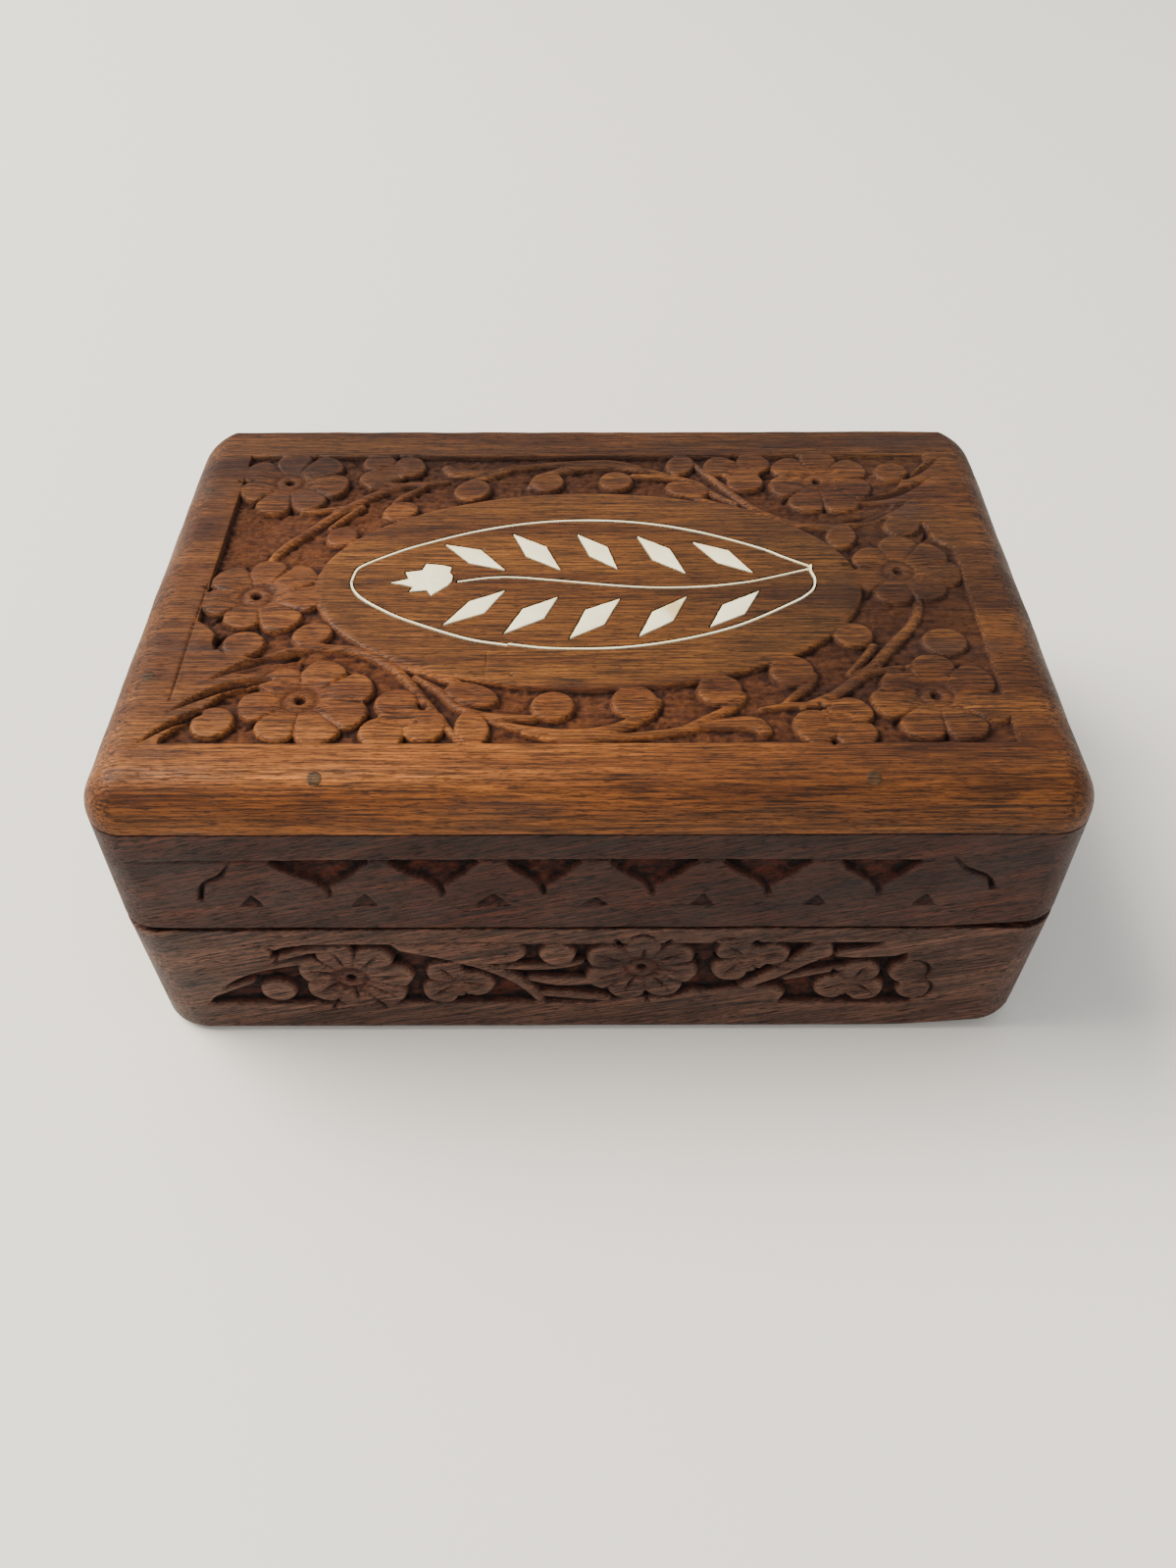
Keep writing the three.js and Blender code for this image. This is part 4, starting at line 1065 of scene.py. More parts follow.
class Shader:
    """A short way to write a node material; its methods add nodes and give their outputs."""

    def __init__(self, name):
        self.material = bpy.data.materials.new(name)
        self.material.use_nodes = True
        self.tree = self.material.node_tree
        self.surface = self.tree.nodes["Principled BSDF"]

    def node(self, kind, inputs=None, **settings):
        node = self.tree.nodes.new(kind)
        for key, value in settings.items():
            setattr(node, key, value)
        for key, value in (inputs or {}).items():
            self.put(node.inputs[key], value)
        return node

    def put(self, socket, value):
        if isinstance(value, bpy.types.NodeSocket):
            self.tree.links.new(value, socket)
        else:
            socket.default_value = value

    def math(self, operation, first, second, clamp=False):
        return self.node("ShaderNodeMath", {0: first, 1: second}, operation=operation,
                         use_clamp=clamp).outputs[0]

    def times(self, first, second):
        return self.math("MULTIPLY", first, second)

    def plus(self, first, second):
        return self.math("ADD", first, second)

    def most(self, first, second):
        return self.math("MAXIMUM", first, second)

    def mix(self, share, first, second, blend="MIX"):
        node = self.node("ShaderNodeMix", data_type="RGBA", blend_type=blend)
        for key, value in (("Factor", share), ("A", first), ("B", second)):
            self.put(node.inputs[key], value)
        return node.outputs["Result"]

    def range(self, value, low, high, to_low=0.0, to_high=1.0):
        return self.node("ShaderNodeMapRange", {
            "Value": value, "From Min": low, "From Max": high, "To Min": to_low, "To Max": to_high,
        }, interpolation_type="SMOOTHSTEP").outputs[0]

    def ramp(self, value, stops):
        node = self.node("ShaderNodeValToRGB", {"Fac": value})
        ramp = node.color_ramp
        for position, colour in stops[2:]:
            ramp.elements.new(position)
        for element, (position, colour) in zip(ramp.elements, stops):
            element.position = position
            element.color = colour
        return node.outputs["Color"]

    def noise(self, vector, scale, detail=3.0, roughness=0.5, distortion=0.0):
        """Noise; a scale for each axis draws the pattern out."""
        if isinstance(scale, tuple):
            vector, scale = self.place(vector, scale), 1.0
        return self.node("ShaderNodeTexNoise", {
            "Vector": vector, "Scale": scale, "Detail": detail, "Roughness": roughness,
            "Distortion": distortion,
        }).outputs["Fac"]

    def place(self, vector, scale=(1, 1, 1), rotation=(0, 0, 0), location=(0, 0, 0)):
        return self.node("ShaderNodeMapping", {
            "Vector": vector, "Scale": scale, "Rotation": rotation, "Location": location,
        }).outputs[0]

    def millimetres(self):
        coordinates = self.node("ShaderNodeTexCoord").outputs["Object"]
        return self.place(coordinates, (1000, 1000, 1000))

    def split(self, vector):
        return self.node("ShaderNodeSeparateXYZ", {0: vector}).outputs

    def length(self, vector):
        return self.node("ShaderNodeVectorMath", {0: vector}, operation="LENGTH").outputs["Value"]

    def attribute(self, name):
        return self.node("ShaderNodeAttribute", attribute_name=name).outputs["Fac"]

    def finish(self, bump=None, **inputs):
        """Sets the surface's inputs, with a bump of height, strength and depth."""
        for key, value in inputs.items():
            self.put(self.surface.inputs[key.replace("_", " ")], value)
        if bump:
            settings = dict(zip(("Height", "Strength", "Distance"), bump))
            node = self.node("ShaderNodeBump", settings)
            self.put(self.surface.inputs["Normal"], node.outputs[0])
        return self.material


def srgb(red, green, blue):
    """A colour given as it looks on a screen, 0 to 255."""
    linear = [((value / 255 + 0.055) / 1.055) ** 2.4 for value in (red, green, blue)]
    return (*linear, 1.0)


def grain_space(shader, direction, tilt, shift):
    """Millimetres in a space whose first axis runs along the grain."""
    rotation = {"x": (0, tilt, 0), "y": (0, 0, math.radians(90))}[direction]
    return shader.place(shader.millimetres(), rotation=rotation, location=shift)


# patterns in the wood: scale along and across the grain per mm, detail, roughness, distortion
GRAIN = {
    "bands": ((0.01, 0.16, 0.16), 5.0, 0.6, 0.5),
    "fibres": ((0.09, 2.6, 2.6), 5.0, 0.68, 0.15),
    "streaks": ((0.045, 1.9, 1.9), 6.0, 0.7, 0.3),
    "coarse_pores": ((0.3, 3.9, 3.9), 2.0),
    "blotches": ((0.22, 0.9, 0.9), 4.0, 0.68),
}


def wood(name, tones, ground, streak, direction="x", tilt=0.0, shift=(0, 0, 0), polish=0.5,
         pores=1.0, wear=0.15, streakiness=0.5, toning=None):
    """Open-grained hardwood: bands of tone, dark streaks, pores, dark carving with painted shade in its
    hollows, and worn edges whose lightening is partly a painted highlight.

    tones run from dark to worn, ground is the carving's floor: dark, light and deepest; the deepest is
    also the colour of the painted shade in hollows.
    """
    tones = [srgb(*tone) for tone in tones]
    dark_floor, light_floor, deepest = (srgb(*tone) for tone in ground)
    streak = srgb(*streak)
    shader = Shader(name)
    space = grain_space(shader, direction, tilt, shift)
    bands = shader.noise(space, *GRAIN["bands"])
    colour = shader.ramp(bands, [(0.32, tones[0]), (0.7, tones[2]), (0.52, tones[1])])
    fibres = shader.noise(space, *GRAIN["fibres"])
    colour = shader.mix(0.9, colour, shader.ramp(fibres, [
        (0.38, (0.09, 0.09, 0.09, 1)), (0.63, (0.9, 0.88, 0.83, 1)),
    ]), "OVERLAY")
    streaks = shader.range(shader.noise(space, *GRAIN["streaks"]), 0.52, 0.63)
    colour = shader.mix(shader.times(streaks, streakiness), colour, streak)
    fine = shader.noise(shader.place(space, (0.55, 6.6, 6.6), location=(3, 7, 1)), 1.0, 2.0)
    pore = shader.most(shader.range(shader.noise(space, *GRAIN["coarse_pores"]), 0.6, 0.66),
                       shader.range(fine, 0.58, 0.66))
    pore_tone = (*[value * 0.4 for value in streak[:3]], 1)
    colour = shader.mix(shader.times(pore, 0.78 * pores), colour, pore_tone)
    carved, hollow = shader.attribute("carved"), shader.attribute("hollow")
    blotches = shader.noise(space, *GRAIN["blotches"])
    floor = shader.mix(shader.range(blotches, 0.35, 0.65), dark_floor, light_floor)
    specks = shader.noise(shader.millimetres(), 2.3, 3.0, 0.75)
    floor = shader.mix(shader.range(specks, 0.5, 0.72, 0.0, 0.6), floor, deepest)
    colour = shader.mix(shader.times(carved, 0.92), colour, floor)
    if toning is not None:
        colour = toning(shader, colour)
    # Painted shade: points lying below what is round them are darkened toward the deepest ground
    # colour.
    colour = shader.mix(shader.range(hollow, 0.05, 0.7, 0.0, 0.85), colour, deepest)
    # Raised parts are painted lighter toward the worn tone: partly wear, partly a painted highlight on
    # the tops of the carving.
    worn = shader.range(hollow, -0.1, -0.6, 0.0, wear)
    colour = shader.mix(worn, colour, shader.mix(0.6, colour, tones[3]))
    gloss = shader.noise(shader.millimetres(), 0.09, 3.0, 0.6)
    shine = shader.range(gloss, 0.3, 0.7, polish - 0.07, polish + 0.1)
    shine = shader.plus(shine, shader.times(carved, 0.28))
    shine = shader.math("ADD", shine, shader.times(pore, 0.2), clamp=True)
    relief = shader.plus(shader.times(pore, -1.0), shader.times(fibres, 0.8))
    grit = shader.noise(shader.millimetres(), 2.6, 3.0, 0.7)
    grit = shader.times(grit, shader.plus(shader.times(carved, 3.2), 0.35))
    relief = shader.plus(relief, grit)
    return shader.finish((relief, 0.5, 0.00012), Base_Color=colour, Roughness=shine,
                         Specular_IOR_Level=0.18)


# x, y, half width, half height, strength of each old stain on the lid
STAINS = [
    (-63, -17.6, 11, 1.1, 0.5), (-69.5, 27.5, 4.5, 4, 0.4), (-52, 26, 10, 2.4, 0.35),
    (58, -17.5, 14, 2.6, 0.45), (40, -27, 9, 2, 0.4), (60, 45, 14, 3, 0.4), (56, 22, 9, 5, 0.35),
    (-36.5, 0.4, 3, 0.6, 0.5), (-14, -49.8, 15, 1.5, 0.4), (-66, -41.5, 6, 1.6, 0.35),
]


def lid_tones(shader, colour):
    """The lid gets a painted sheen at the front left, is darker at the back and sides (partly darker
    wood, partly painted shade), and is stained.
    """
    space = shader.millimetres()
    across, deep, _ = shader.split(space)
    # Painted sheen: the front margin is lightened toward the left, where a highlight falls.
    painted_sheen = shader.math("MINIMUM", shader.range(deep, -38.0, -42.0),
                         shader.range(deep, -50.5, -46.5))
    painted_sheen = shader.times(painted_sheen, shader.range(across, 25.0, -60.0))
    colour = shader.mix(painted_sheen, colour, (1.42, 1.46, 1.5, 1), "MULTIPLY")
    # Darker at the right, back and far left: partly darker wood, partly painted shade where the polish
    # catches less light.
    dark = shader.most(shader.range(across, -15.0, 60.0, 0.0, 0.95),
                       shader.range(deep, 12.0, 42.0, 0.0, 0.95))
    dark = shader.most(dark, shader.range(across, -50.0, -68.0, 0.0, 0.5))
    oval_reach = shader.length(shader.place(space, (1 / OVAL[0], 1 / OVAL[1], 0.0)))
    faded = shader.range(oval_reach, 1.02, 0.96)
    colour = shader.mix(faded, colour, (0.8, 0.88, 0.86, 1), "MULTIPLY")
    drift = shader.noise(space, (0.02, 0.05, 0.05), 2.0)
    dark = shader.times(dark, shader.range(drift, 0.25, 0.6, 0.7, 1.0))
    dark = shader.times(dark, shader.range(deep, -48.0, -14.0, 0.6, 1.0))
    colour = shader.mix(dark, colour, (0.36, 0.42, 0.6, 1), "MULTIPLY")
    wobble = shader.times(shader.noise(space, 0.35), 0.6)
    for x, y, wide, tall, strength in STAINS:
        spot = shader.place(space, (1 / wide, 1 / tall, 0.0), location=(-x / wide, -y / tall, 0))
        reach = shader.plus(shader.length(spot), wobble)
        share = shader.range(reach, 1.35, 0.6, 0.0, strength)
        colour = shader.mix(share, colour, srgb(46, 32, 27))
    return colour


def bone():
    """Polished bone with faint lines and clouds, and one yellow stain."""
    shader = Shader("bone_inlay")
    space = shader.millimetres()
    cloud = shader.noise(space, (0.15, 0.15, 0.15), 4.0)
    colour = shader.mix(shader.range(cloud, 0.35, 0.7), srgb(255, 238, 190), srgb(255, 248, 210))
    lines = shader.noise(shader.place(space, (0.5, 2.2, 0.5), (0, 0, 0.6)), 1.0)
    colour = shader.mix(shader.range(lines, 0.55, 0.8, 0.0, 0.18), colour, srgb(205, 192, 160))
    across, deep, _ = shader.split(space)
    stain_x = shader.math("ABSOLUTE", shader.math("SUBTRACT", across, BONE_STAIN[0]), 0.0)
    stain_y = shader.math("ABSOLUTE", shader.math("SUBTRACT", deep, BONE_STAIN[1]), 0.0)
    near = shader.plus(stain_x, shader.times(stain_y, 0.6))
    near = shader.plus(near, shader.times(shader.noise(space, 0.8), 2.5))
    colour = shader.mix(shader.range(near, 5.0, 1.8, 0.0, 0.8), colour, srgb(208, 178, 108))
    shine = shader.range(shader.noise(space, 0.6), 0.3, 0.7, 0.36, 0.52)
    grain = shader.noise(space, 1.8, 4.0, 0.6)
    return shader.finish((grain, 0.25, 0.00008), Base_Color=colour, Roughness=shine,
                         Subsurface_Weight=0.06, Subsurface_Radius=(0.001, 0.0008, 0.0006))


def aged_brass():
    """Brass with brown tarnish and fine scratches."""
    shader = Shader("aged_brass")
    space = shader.millimetres()
    tarnish = shader.noise(space, 0.45, 5.0, 0.65)
    colour = shader.mix(shader.range(tarnish, 0.4, 0.7), srgb(196, 158, 92), srgb(112, 84, 50))
    scratches = shader.noise(space, (0.4, 6.0, 6.0), 2.0)
    return shader.finish((scratches, 0.3, 0.00005), Base_Color=colour, Metallic=1.0,
                         Roughness=shader.range(tarnish, 0.3, 0.7, 0.28, 0.55))


def velvet():
    """Red velvet, brushed here and there."""
    shader = Shader("red_velvet")
    space = shader.millimetres()
    pile = shader.noise(space, 3.2, 4.0, 0.7)
    brushed = shader.noise(space, (0.04, 0.09, 0.09), 3.0, 0.6, 0.8)
    colour = shader.mix(shader.range(brushed, 0.35, 0.65), srgb(104, 14, 24), srgb(124, 19, 31))
    colour = shader.mix(shader.range(pile, 0.35, 0.7, 0.0, 0.45), colour, srgb(60, 6, 14))
    return shader.finish((pile, 0.6, 0.00025), Base_Color=colour, Roughness=0.92,
                         Sheen_Weight=0.45, Sheen_Roughness=0.35, Sheen_Tint=srgb(214, 96, 104))


# ---- the frame of the view, light and floor ----

LENS, SENSOR = 29.57, 36.0
CAMERA_PLACE = (-0.61, -178.4, 194.06)
PITCH, YAW = 0.800, 0.003
AIR_COLOUR, AIR_STRENGTH = (0.9, 0.94, 1.0, 1), 0.74
# name, place, target, size (all in metres), watts, colour
LIGHTS = [
    ("window", (-1.15, 0.35, 1.5), (0, 0, 0.03), (1.2, 1.2), 82.0, (1.0, 0.95, 0.87)),
    ("table", (0.1, -1.1, 0.3), (0, 0, 0.02), (1.2, 0.4), 3.5, (1.0, 0.95, 0.9)),
]
FLOOR_HALF = 3000


def set_in_scene(name, data, place, heading):
    """A camera or lamp that looks along a heading."""
    thing = bpy.data.objects.new(name, data)
    bpy.context.scene.collection.objects.link(thing)
    thing.location = place
    thing.rotation_mode = "QUATERNION"
    thing.rotation_quaternion = Vector(heading).to_track_quat("-Z", "Y")
    return thing


def set_camera():
    """The photograph's view."""
    data = bpy.data.cameras.new("camera")
    data.lens, data.sensor_width = LENS, SENSOR
    data.clip_start, data.clip_end = 0.01, 20.0
    heading = (math.sin(YAW) * math.cos(PITCH), math.cos(YAW) * math.cos(PITCH), -math.sin(PITCH))
    camera = set_in_scene("camera", data, Vector(CAMERA_PLACE) * MM, heading)
    bpy.context.scene.camera = camera


def set_stage():
    """Even light from all round, a window at the back left and a pale floor."""
    world = bpy.data.worlds.new("studio")
    bpy.context.scene.world = world
    world.use_nodes = True
    background = world.node_tree.nodes["Background"]
    background.inputs["Color"].default_value = AIR_COLOUR
    background.inputs["Strength"].default_value = AIR_STRENGTH
    for name, place, target, size, power, colour in LIGHTS:
        data = bpy.data.lights.new(name, "AREA")
        data.shape = "RECTANGLE"
        data.size, data.size_y = size
        data.energy = power
        data.color = colour
        set_in_scene(name, data, place, Vector(target) - Vector(place))
    corners = np.array([(-1, -1, 0), (1, -1, 0), (1, 1, 0), (-1, 1, 0)])
    floor = build("floor", corners * FLOOR_HALF, [[(0, 1, 2, 3)]])
    pale = Shader("pale_floor").finish(Base_Color=srgb(243, 238, 226), Roughness=0.6)
    floor.data.materials.append(pale)


# ---- linings ----

def lining_sheet(name, node, body, up):
    """A glued sheet with a soft edge and a few slack waves in its pile side."""
    low, high = box_mm(node)
    gap = 0.25
    xs = np.linspace(low[0] + gap, high[0] - gap, 180)
    ys = np.linspace(low[1] + gap, high[1] - gap, 112)
    gx, gy = np.meshgrid(xs, ys)
    edge = np.minimum.reduce([gx - xs[0], xs[-1] - gx, gy - ys[0], ys[-1] - gy])
    rounding = 0.45 * (1 - smoothstep(edge, -0.3, 2.2))
    back, front = (low[2], high[2]) if up else (high[2], low[2])
    sign = 1 if up else -1
    waves = 0.12 * rough(gx, gy, 22.0, 83 if up else 87) + 0.04 * noise(gx, gy, 1.3, 85)
    top = front - sign * (0.14 + rounding - waves)
    number = np.arange(gx.size).reshape(gx.shape)
    plan = np.column_stack([gx.ravel(), gy.ravel()])
    points = np.vstack([np.column_stack([plan, top.ravel()]), at_height(plan, back)])
    rim = np.concatenate([number[0, :-1], number[:-1, -1], number[-1, :0:-1], number[:0:-1, 0]])
    quads = grid_faces(number)
    faces = [quads, quads[:, ::-1] + gx.size, bridge(rim + gx.size, rim)[0]]
    if not up:
        faces = [group[:, ::-1] for group in faces]
    return finish_piece(build(name, points, faces), VELVET, body, "velvet", node)


def lining_band(name, node, body):
    """The strip glued round the inside of the four walls, soft at both edges."""
    low, high = box_mm(node)
    half = high[:2]
    turn = 2.5
    stations = []
    for quarter, signs in enumerate([(1, 1), (-1, 1), (-1, -1), (1, -1)]):
        centre = np.array(signs) * (half - 1.0 - turn)
        for angle in np.linspace(0, math.pi / 2, 7) + quarter * math.pi / 2:
            stations.append((*centre, math.cos(angle), math.sin(angle)))
    stations = np.array(stations)
    dense = []
    for start, end in zip(stations, np.roll(stations, -1, 0)):
        count = max(1, round(np.hypot(*(end[:2] - start[:2])) / 1.2))
        dense += [start + (end - start) * step / count for step in range(count)]
    dense = np.array(dense)
    normal = dense[:, 2:] / np.linalg.norm(dense[:, 2:], axis=1)[:, None]
    inner = dense[:, :2] + normal * turn
    length = np.cumsum(np.hypot(*np.diff(np.vstack([inner[-1:], inner]), axis=0).T))
    outer = np.clip(inner + normal * 1.6, -half + 0.05, half - 0.05)
    rows = [at_height(outer, low[2])]
    for height in np.linspace(low[2], high[2], 24):
        end = min(height - low[2], high[2] - height)
        ease = 0.4 * (1 - smoothstep(end, 0, 1.2))
        ripple = 0.08 * rough(length, np.full(len(length), height), 13.0, 91)
        rows.append(at_height(inner + normal * (ease - ripple + 0.1)[:, None], height))
    rows.append(at_height(outer, high[2]))
    number = np.arange(len(rows) * len(dense)).reshape(len(rows), len(dense))
    faces = []
    for lower, upper in zip(number, np.roll(number, -1, 0)):
        faces += [group[:, ::-1] for group in bridge(lower, upper)]
    return finish_piece(build(name, np.vstack(rows), faces), VELVET, body, "velvet", node)


# ---- hinges ----

def hinge_leaf(node, seat, sign):
    """A plate let into the seam, its tabs curled round the pin; sign is 1 for the lid."""
    low, high = box_mm(node)
    thick, outer, inner, gap, middle = 0.9, 1.6, 0.8, 0.3, 4.0

    def mirror(points):
        return [(y, SEAM + sign * (z - SEAM)) for y, z in points]

    top = SEAM + abs(seat - SEAM)
    plate_back = HINGE_Y - outer - gap
    plate = bar(node + "_brass", mirror([
        (low[1] + 0.15, top), (low[1], top + 0.15), (low[1], top + thick),
        (plate_back, top + thick), (plate_back, top),
    ]), low[0], high[0])
    start = math.pi - math.asin((top + thick - SEAM) / outer)
    end = -math.pi + math.radians(18)
    outline = [(low[1] + 2.0, top), (low[1] + 2.0, top + thick)]
    outline += arc_outline(outer, np.linspace(start, end, 36))
    outline += arc_outline(inner, np.linspace(end, math.pi - math.asin((top - SEAM) / inner), 30))
    half = (high[0] - low[0]) / 2
    centre = (low[0] + high[0]) / 2
    spans = [(-middle, middle)]
    if sign < 0:
        spans = [(-half, -middle - gap), (middle + gap, half)]
    for start_x, end_x in spans:
        combine(plate, bar("tab", mirror(outline), centre + start_x, centre + end_x), "UNION")
    return plate


def screw(node, seat, sign):
    """A countersunk slotted screw, its head just proud of the leaf."""
    low, high = box_mm(node)
    x, y = (low[0] + high[0]) / 2, (low[1] + high[1]) / 2
    length = high[2] - low[2]
    profile = [(-length, 0), (-length + 1.2, 0.55), (-1.0, 0.8), (-0.75, 0.8), (-0.1, 1.3),
               (0.0, 1.28), (0.06, 0.9), (0.08, 0)]
    piece = turned_piece(node + "_brass", profile, (x, y, seat), (0, 0, -sign))
    angle = math.radians((hash_number(node) * 37) % 180)
    cosine, sine = math.cos(angle), math.sin(angle)
    plan = [(x + along * cosine - across * sine, y + along * sine + across * cosine)
            for along, across in ((1.5, 0.16), (-1.5, 0.16), (-1.5, -0.16), (1.5, -0.16))]
    slot = skin("slot", [at_height(plan, seat + sign * 0.35), at_height(plan, seat - sign * 0.6)])
    return combine(piece, slot, "DIFFERENCE")


def hash_number(name):
    """A number that depends only on a name."""
    return sum((index + 1) * ord(letter) for index, letter in enumerate(name))


def hinge_set():
    """Two hinges, each with two leaves, four screws and a pin."""
    for side in ("left", "right"):
        for body, seat, sign in (("base", BASE_TOP, -1), ("lid", LID_BOTTOM, 1)):
            node = f"hinge_{side}_{body}_leaf"
            finish_piece(hinge_leaf(node, seat, sign), BRASS, body, "brass", node)
            for number in (1, 2):
                node = f"hinge_{side}_{body}_screw_{number}"
                finish_piece(screw(node, seat, sign), BRASS, body, "brass", node)
        node = f"hinge_{side}_pin"
        low, high = box_mm(node)
        length = high[0] - low[0]
        profile = [(0, 0), (0.04, 0.5), (0.16, 0.72), (length - 0.16, 0.72),
                   (length - 0.04, 0.5), (length, 0)]
        pin = turned_piece(node + "_brass", profile, (low[0], HINGE_Y, SEAM), (1, 0, 0))
        finish_piece(pin, BRASS, "base", "brass", node)


# ---- pegs ----

def peg(node):
    """A wooden peg whose end was cut off flush with the worn edge round it."""
    low, high = box_mm(node)
    x, y = (low[0] + high[0]) / 2, (low[1] + high[1]) / 2
    run_x, run_y = TOP_RUN["side"], TOP_RUN["front"]
    sides = 24
    rings = []
    for radius, proud in ((0.0, -0.01), (0.6, 0.03), (1.0, 0.03), (1.08, -0.01)):
        ring = []
        for index in range(sides if radius else 1):
            angle = 2 * math.pi * index / sides
            px, py = x + radius * math.cos(angle), y + radius * math.sin(angle)
            over_x = max(abs(px) - HALF_X + run_x, 0) / run_x
            over_y = max(-py - HALF_Y + run_y, 0) / run_y
            over = min(math.hypot(over_x, over_y), 1)
            ring.append((px, py, TOP - TOP_RISE * (1 - math.sqrt(1 - over * over)) + proud))
        rings.append(ring)
    rings.append([(px, py, low[2]) for px, py, _ in rings[-1]])
    return skin(node + "_wood", rings)


# ---- the whole object ----

set_camera()
set_stage()

DARK_TONES = ((46, 25, 19), (70, 42, 31), (94, 62, 48), (120, 86, 70))
# ground colours: dark, light and deepest; the deepest also paints the shade in hollows
DARK_GROUND = ((26, 10, 8), (68, 29, 17), (7, 4, 5))
DARK_STREAK = (27, 11, 10)
FRONT_TILT = math.radians(14.5)
LID_WOOD = wood(
    "lid_wood", ((74, 36, 12), (106, 58, 20), (130, 77, 31), (142, 88, 40)),
    ((64, 31, 14), (98, 55, 26), (30, 12, 7)), (46, 21, 10),
    polish=0.52, pores=0.85, streakiness=0.35, toning=lid_tones)
FRONT_WOOD = wood(
    "front_wood", DARK_TONES, DARK_GROUND, DARK_STREAK, tilt=FRONT_TILT,
    pores=1.2, wear=0.28, streakiness=0.85)
# The rails' wood is darker than the walls': partly its own tone, partly painted shade on the upper part
# of the box's faces.
RAIL_WOOD = wood(
    "rail_wood", ((32, 11, 7), (46, 20, 13), (64, 31, 20), (82, 46, 32)), DARK_GROUND,
    DARK_STREAK, tilt=FRONT_TILT, shift=(21, 9, 3), pores=1.25, wear=0.25, streakiness=0.85)
SIDE_WOOD = wood(
    "side_wood", DARK_TONES, DARK_GROUND, DARK_STREAK, direction="y", shift=(40, 13, 7),
    pores=1.2, wear=0.28, streakiness=0.8)
INNER_WOOD = wood(
    "inner_wood", ((96, 58, 38), (128, 82, 54), (150, 100, 68), (160, 110, 78)), DARK_GROUND,
    (74, 44, 32), shift=(10, 5, 70), polish=0.65)
PEG_WOOD = wood(
    "peg_wood", ((56, 38, 20), (72, 51, 28), (86, 62, 36), (94, 70, 44)), DARK_GROUND,
    (44, 28, 20), shift=(3, 9, 1), polish=0.55)
BONE = bone()
BRASS = aged_brass()
VELVET = velvet()


def box_walls():
    """The four walls of the box: three carved, and a plain back with recesses."""
    relief = floral_band(
        HALF_X, FRONT_GROUND, FRONT_PLATEAUS, FRONT_FLOWERS, FRONT_TREFOILS, FRONT_BUDS,
        FRONT_STEMS, FRONT_CURLS, FRONT_TOP_LINE, 41)
    front = wall("base_front_carved", "front", 0.0, BASE_TOP, FOOT_EDGE, SEAM_EDGE, relief,
                 base_seam, seed=1)
    thin_out(front, BASE_FRONT_TRIANGLES)
    finish_piece(front, FRONT_WOOD, "base", "wall_wood", "base_front_wall")
    for number, side in enumerate(("left", "right")):
        relief = floral_band(
            INSIDE_Y, SIDE_GROUND, [], SIDE_FLOWERS, [], SIDE_BUDS, SIDE_STEMS, [],
            SIDE_TOP_LINE, 44 + number)
        piece = wall(f"base_{side}_carved", side, 0.0, BASE_TOP, FOOT_EDGE, SEAM_EDGE, relief,
                     seed=2 + number)
        thin_out(piece, BASE_SIDE_TRIANGLES)
        finish_piece(piece, SIDE_WOOD, "base", "wall_wood", f"base_{side}_wall")
    back = wall("base_back_plain", "back", 0.0, BASE_TOP, FOOT_EDGE, BACK_EDGE, step=PLAIN_STEP,
                seed=5)
    cut_for_hinges(back, BASE_TOP, -1)
    finish_piece(back, FRONT_WOOD, "base", "wall_wood", "base_back_wall")


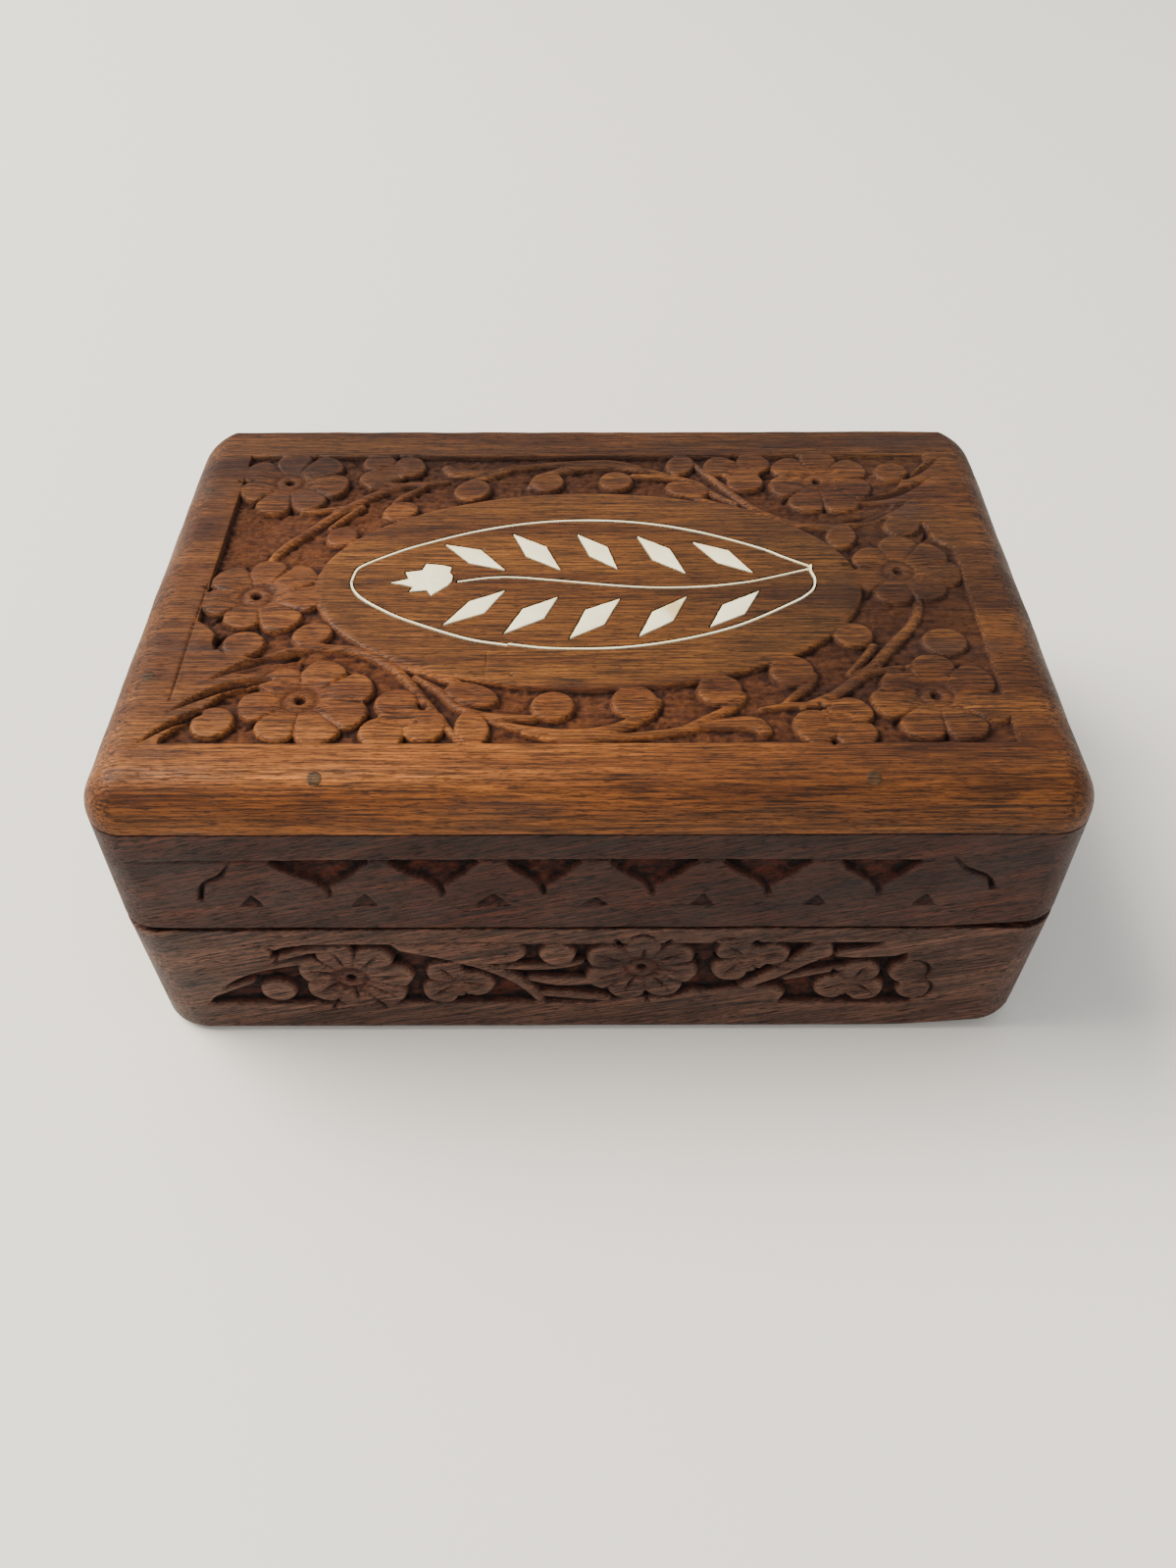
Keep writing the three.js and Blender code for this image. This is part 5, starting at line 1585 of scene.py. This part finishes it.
def lid_rails():
    """The four rails under the lid board, made like the walls."""
    relief = scallop_band(HALF_X, SCALLOPS, NOTCHES, FRONT_LINES, 61)
    front = wall("lid_front_carved", "front", LID_BOTTOM, RAIL_TOP, SEAM_EDGE, RAIL_HEAD_EDGE,
                 relief, front_seam, seed=6)
    thin_out(front, LID_FRONT_TRIANGLES)
    finish_piece(front, RAIL_WOOD, "lid", "wall_wood", "lid_front_rail")
    relief = scallop_band(INSIDE_Y, SIDE_SCALLOPS, SIDE_NOTCHES, SIDE_LINES, 67)
    for number, side in enumerate(("left", "right")):
        piece = wall(f"lid_{side}_carved", side, LID_BOTTOM, RAIL_TOP, SEAM_EDGE, RAIL_HEAD_EDGE,
                     relief, seed=7 + number)
        thin_out(piece, LID_SIDE_TRIANGLES)
        finish_piece(piece, SIDE_WOOD, "lid", "wall_wood", f"lid_{side}_rail")
    back = wall("lid_back_plain", "back", LID_BOTTOM, RAIL_TOP, BACK_EDGE, RAIL_HEAD_EDGE,
                step=PLAIN_STEP, seed=9)
    cut_for_hinges(back, LID_BOTTOM, 1)
    finish_piece(back, RAIL_WOOD, "lid", "wall_wood", "lid_back_rail")


def bottom_board():
    """The board let in between the walls, its edges eased."""
    low, high = box_mm("base_board")
    piece = block("base_board_wood", low, high)
    modifier = piece.modifiers.new("eased", "BEVEL")
    modifier.width = 0.3 * MM
    modifier.segments = 3
    apply_modifiers(piece)
    piece.data.shade_smooth()
    piece.data.set_sharp_from_angle(angle=math.radians(40))
    finish_piece(piece, INNER_WOOD, "base", "inner_wood", "base_board")


def inlays():
    """Every piece of bone in the oval."""
    strips = [(name, line, OUTLINE_WIDTH) for name, line in OUTLINE_STRIPS.items()]
    for name, line, width in [*strips, ("inlay_stem", VEIN, VEIN_WIDTH)]:
        finish_piece(inlay_strip(name + "_bone", line, width), BONE, "lid", "bone", name)
    for name, outline in [("inlay_bud", BUD_INLAY), *leaflet_outlines()]:
        finish_piece(inlay_plate(name + "_bone", outline), BONE, "lid", "bone", name)


finish_piece(lid_board(), LID_WOOD, "lid", "lid_wood", "lid_board")
inlays()
box_walls()
lid_rails()
bottom_board()
for node in PEGS:
    finish_piece(peg(node), PEG_WOOD, "lid", "peg_wood", node)
hinge_set()

for body, sheet_node, band_node, up, backing in (
    ("base", "base_floor_lining", "base_wall_lining", True, "base_board_wood"),
    ("lid", "lid_ceiling_lining", "lid_wall_lining", False, "lid_board_carved"),
):
    sheet = lining_sheet(sheet_node + "_velvet", sheet_node, body, up)
    band = lining_band(band_node + "_velvet", band_node, body)
